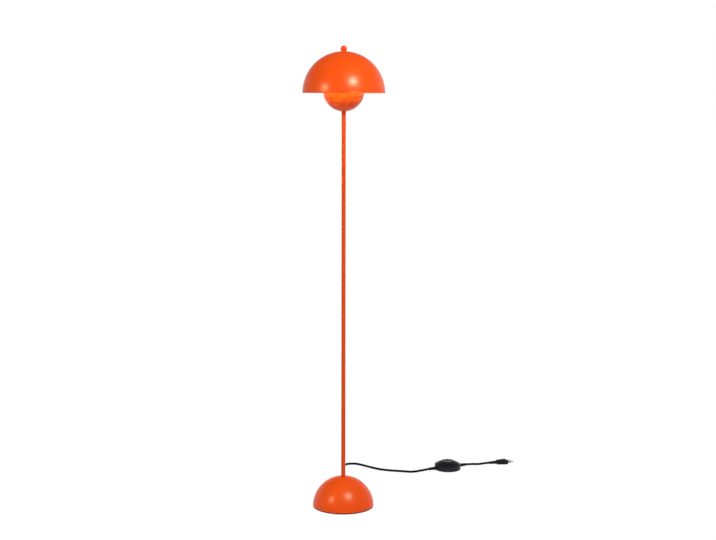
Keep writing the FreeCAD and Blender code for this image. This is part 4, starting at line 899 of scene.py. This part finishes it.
# %% [markdown]
# ## Pins
#
# A pin is a nickel-plated rod with a rounded tip, and its half next to the plug is sleeved in plastic so that
# a finger can't touch live metal. Both are turned on the pin's axis, and the sleeve is a second material on
# the rings near the plug.

# %% Plug pins
PIN_RADIUS = 2.0 * MM
PIN_LENGTH = 19.0 * MM
PIN_SPACING = 18.6 * MM
SLEEVED = 10.0 * MM
SLEEVE_STEP = 0.05 * MM  # the bare metal is this much thinner than the sleeve
TIP_ROUND = 1.5 * MM
PIN_SEGMENTS = 48
pin_start = PLUG_SLEEVE + PLUG_LENGTH - 0.5 * MM
pin_tip = PLUG_SLEEVE + PLUG_LENGTH + PIN_LENGTH
pin_outline = np.vstack([
    [(0.0, pin_start), (PIN_RADIUS, pin_start), (PIN_RADIUS, pin_start + SLEEVED)],
    [(PIN_RADIUS - SLEEVE_STEP, pin_start + SLEEVED + SLEEVE_STEP), (PIN_RADIUS - SLEEVE_STEP, pin_tip - TIP_ROUND)],
    arc(TIP_ROUND, 0, 90, 8, centre=(PIN_RADIUS - SLEEVE_STEP - TIP_ROUND, pin_tip - TIP_ROUND)),
    [(0.0, pin_tip)],
])
for number, side in enumerate((-1, 1), start=1):
    pin_frame = plug_frame.copy()
    pin_frame[:3, 3] += plug_frame[:3, 0] * side * PIN_SPACING / 2
    pin = lathe(
        f"plug_pin_{number}", pin_outline, [nickel, black], "lamp",
        axis=pin_frame, segments=PIN_SEGMENTS, closed=False,
    )
    rings = np.repeat(np.arange(len(pin_outline) - 1), PIN_SEGMENTS)
    pin.data.polygons.foreach_set("material_index", (rings < 2).astype(np.int32)[: len(pin.data.polygons)])
    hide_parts("plug_pins")

# %% [markdown]
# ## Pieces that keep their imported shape
#
# The bracket, the lampholder, the threaded tubes and nuts, the weight, the clamp and the works of the switch
# are plain machined or pressed pieces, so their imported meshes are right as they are. They get their finish
# by the name of the slot that the record gives each of them.

# %% Finishes by slot
FINISHES = {
    "orange_lacquer": orange, "black_rubber": rubber, "zinc_steel": zinc, "cast_iron": iron,
    "black_plastic": black, "black_cord": sheath, "white_plastic": cream, "brass": brass,
    "nickel": nickel, "ceramic": ceramic, "opal_glass": opal,
}
for entry in frame["record"]["subparts"]:
    packed = nodes[entry["node"]]
    packed.data.materials.clear()
    packed.data.materials.append(FINISHES[entry["material_slot"]])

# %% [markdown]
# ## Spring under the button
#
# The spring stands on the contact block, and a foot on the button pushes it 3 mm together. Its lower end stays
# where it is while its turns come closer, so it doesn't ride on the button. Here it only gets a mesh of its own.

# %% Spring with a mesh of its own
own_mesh(nodes["switch_spring"])

# %% [markdown]
# ## Floor and background
#
# The photograph is cut out on white. The floor and the world are white only for rays that come from the
# camera or from a shiny or clear surface, which Light Path tells apart, so they don't add light to the lamp.
# A white room all round would lay a pale veil on the lacquer. So the world has a dark ceiling, high enough that
# the camera doesn't meet it, and camera and gloss see the same room. The floor mixes in a little matt grey,
# and that part still takes the lamp's soft shadow.


# %% White where it is seen
def seen_directly(tree):
    """1 for rays from the camera, from gloss and from glass, and 0 for light that the scene gets."""
    path = add_node(tree, "ShaderNodeLightPath").outputs
    seen = path["Is Camera Ray"]
    for kind in ("Is Glossy Ray", "Is Transmission Ray"):
        seen = add_node(tree, "ShaderNodeMath", {0: seen, 1: path[kind]}, operation="MAXIMUM").outputs[0]
    return seen


# %% World
AMBIENT = 0.40
CEILING = 0.12
CEILING_STARTS, CEILING_FULL = 0.22, 0.5  # steepness of the ray: 0 is level and 1 is straight up
world = bpy.data.worlds.new("studio")
world.use_nodes = True
bpy.context.scene.world = world
tree = world.node_tree
tree.nodes.clear()
way = add_node(tree, "ShaderNodeTexCoord").outputs["Generated"]
steepness = add_node(tree, "ShaderNodeSeparateXYZ", {"Vector": way}).outputs["Z"]
overhead = add_node(
    tree, "ShaderNodeMapRange",
    {"Value": steepness, "From Min": CEILING_STARTS, "From Max": CEILING_FULL},
    interpolation_type="SMOOTHSTEP",
).outputs["Result"]
room = add_node(
    tree, "ShaderNodeMix",
    {"Factor": overhead, "A": (1, 1, 1, 1), "B": (CEILING, CEILING, CEILING, 1)},
    data_type="RGBA",
).outputs["Result"]
white_seen = add_node(tree, "ShaderNodeBackground", {"Color": room, "Strength": 1.0})
soft_light = add_node(tree, "ShaderNodeBackground", {"Color": (1, 0.99, 0.98, 1), "Strength": AMBIENT})
chosen = add_node(
    tree, "ShaderNodeMixShader", {0: seen_directly(tree), 1: soft_light.outputs[0], 2: white_seen.outputs[0]},
)
add_node(tree, "ShaderNodeOutputWorld", {"Surface": chosen.outputs[0]})
print("world ambient", AMBIENT, "ceiling", CEILING)

# %% Floor
FLOOR_SIZE = 80.0
FLOOR_SHARE = 0.16
FLOOR_GREY = (0.72, 0.72, 0.72, 1.0)
FLOOR_WHITE = 1.10
FADE_FROM, FADE_TO = 0.7, 2.2  # metres from the lamp between which the matt share dies away
floor_mesh = bpy.data.meshes.new("floor")
half = FLOOR_SIZE / 2
floor_mesh.from_pydata([(-half, -half, 0), (half, -half, 0), (half, half, 0), (-half, half, 0)], [], [(0, 1, 2, 3)])
floor = bpy.data.objects.new("floor", floor_mesh)
floor.location.z = -0.2 * MM
bpy.context.scene.collection.objects.link(floor)
floor_material = bpy.data.materials.new("pale_floor")
floor_material.use_nodes = True
tree = floor_material.node_tree
tree.nodes.clear()
place = add_node(tree, "ShaderNodeTexCoord").outputs["Object"]
far = add_node(tree, "ShaderNodeVectorMath", {0: place}, operation="LENGTH").outputs["Value"]
share = add_node(
    tree, "ShaderNodeMapRange",
    {"Value": far, "From Min": FADE_FROM, "From Max": FADE_TO, "To Min": FLOOR_SHARE, "To Max": 0.0},
    interpolation_type="SMOOTHSTEP",
).outputs["Result"]
matt = add_node(tree, "ShaderNodeBsdfDiffuse", {"Color": FLOOR_GREY})
plain_white = add_node(tree, "ShaderNodeEmission", {"Color": (1, 1, 1, 1), "Strength": FLOOR_WHITE})
shown = add_node(tree, "ShaderNodeMixShader", {0: share, 1: plain_white.outputs[0], 2: matt.outputs[0]})
both = add_node(tree, "ShaderNodeMixShader", {0: seen_directly(tree), 1: matt.outputs[0], 2: shown.outputs[0]})
add_node(tree, "ShaderNodeOutputMaterial", {"Surface": both.outputs[0]})
floor_mesh.materials.append(floor_material)
print(f"floor of {FLOOR_SIZE:.0f} m, matt share {FLOOR_SHARE}")

# %% [markdown]
# ## Lamps
#
# The highlights in the photograph say where the studio lamps stood. On a ball, a highlight lies where the
# surface faces halfway between the eye and the lamp, and shade and base are two balls, so each lamp can be
# found from its two spots: one right of the camera at two and a half metres, one to the left at three. Their
# glow on the lacquer is wide and strong, but the colour under it isn't washed out. So the studio has two kinds
# of lamp here: soft ones that give matt light only, and two that only show as highlights, which Blender's ray
# visibility keeps apart. Light linking keeps the highlights to shade, bowl, base and finial. A third soft lamp
# lights the back for anyone who walks round.

# %% Lamps
AIM = np.array([0.0, 0.0, 0.65])
KEY_PLACE = (0.928, -1.663, 2.309)
FILL_PLACE = (-2.25, -1.69, 1.81)
STUDIO = [
    ("key", KEY_PLACE, 0.60, 33.0, (1.0, 0.97, 0.92), "matt"),
    ("fill", FILL_PLACE, 0.90, 14.0, (1.0, 0.95, 0.88), "matt"),
    ("back", (2.4, 2.6, 2.5), 1.60, 22.0, (1.0, 0.97, 0.93), "matt"),
    ("key_shine", KEY_PLACE, 0.54, 122.0, (1.0, 0.90, 0.60), "gloss"),
    ("fill_shine", FILL_PLACE, 0.70, 74.0, (1.0, 0.84, 0.42), "gloss"),
]
lacquered = bpy.data.collections.new("lacquered")
for piece in (shade, bowl, base, collar, ball):
    lacquered.objects.link(piece)
for name, place, size, power, tint, kind in STUDIO:
    light = bpy.data.lights.new(name, "AREA")
    light.shape = "DISK"
    light.color = tint
    light.size = size
    light.energy = power
    lamp = bpy.data.objects.new(name, light)
    lamp.matrix_world = Matrix(frame_matrix(place, np.array(place) - AIM, UP).tolist())
    lamp.visible_diffuse = kind == "matt"
    lamp.visible_glossy = kind == "gloss"
    if kind == "gloss":
        lamp.light_linking.receiver_collection = lacquered
    bpy.context.scene.collection.objects.link(lamp)
print(len(STUDIO), "lamps")
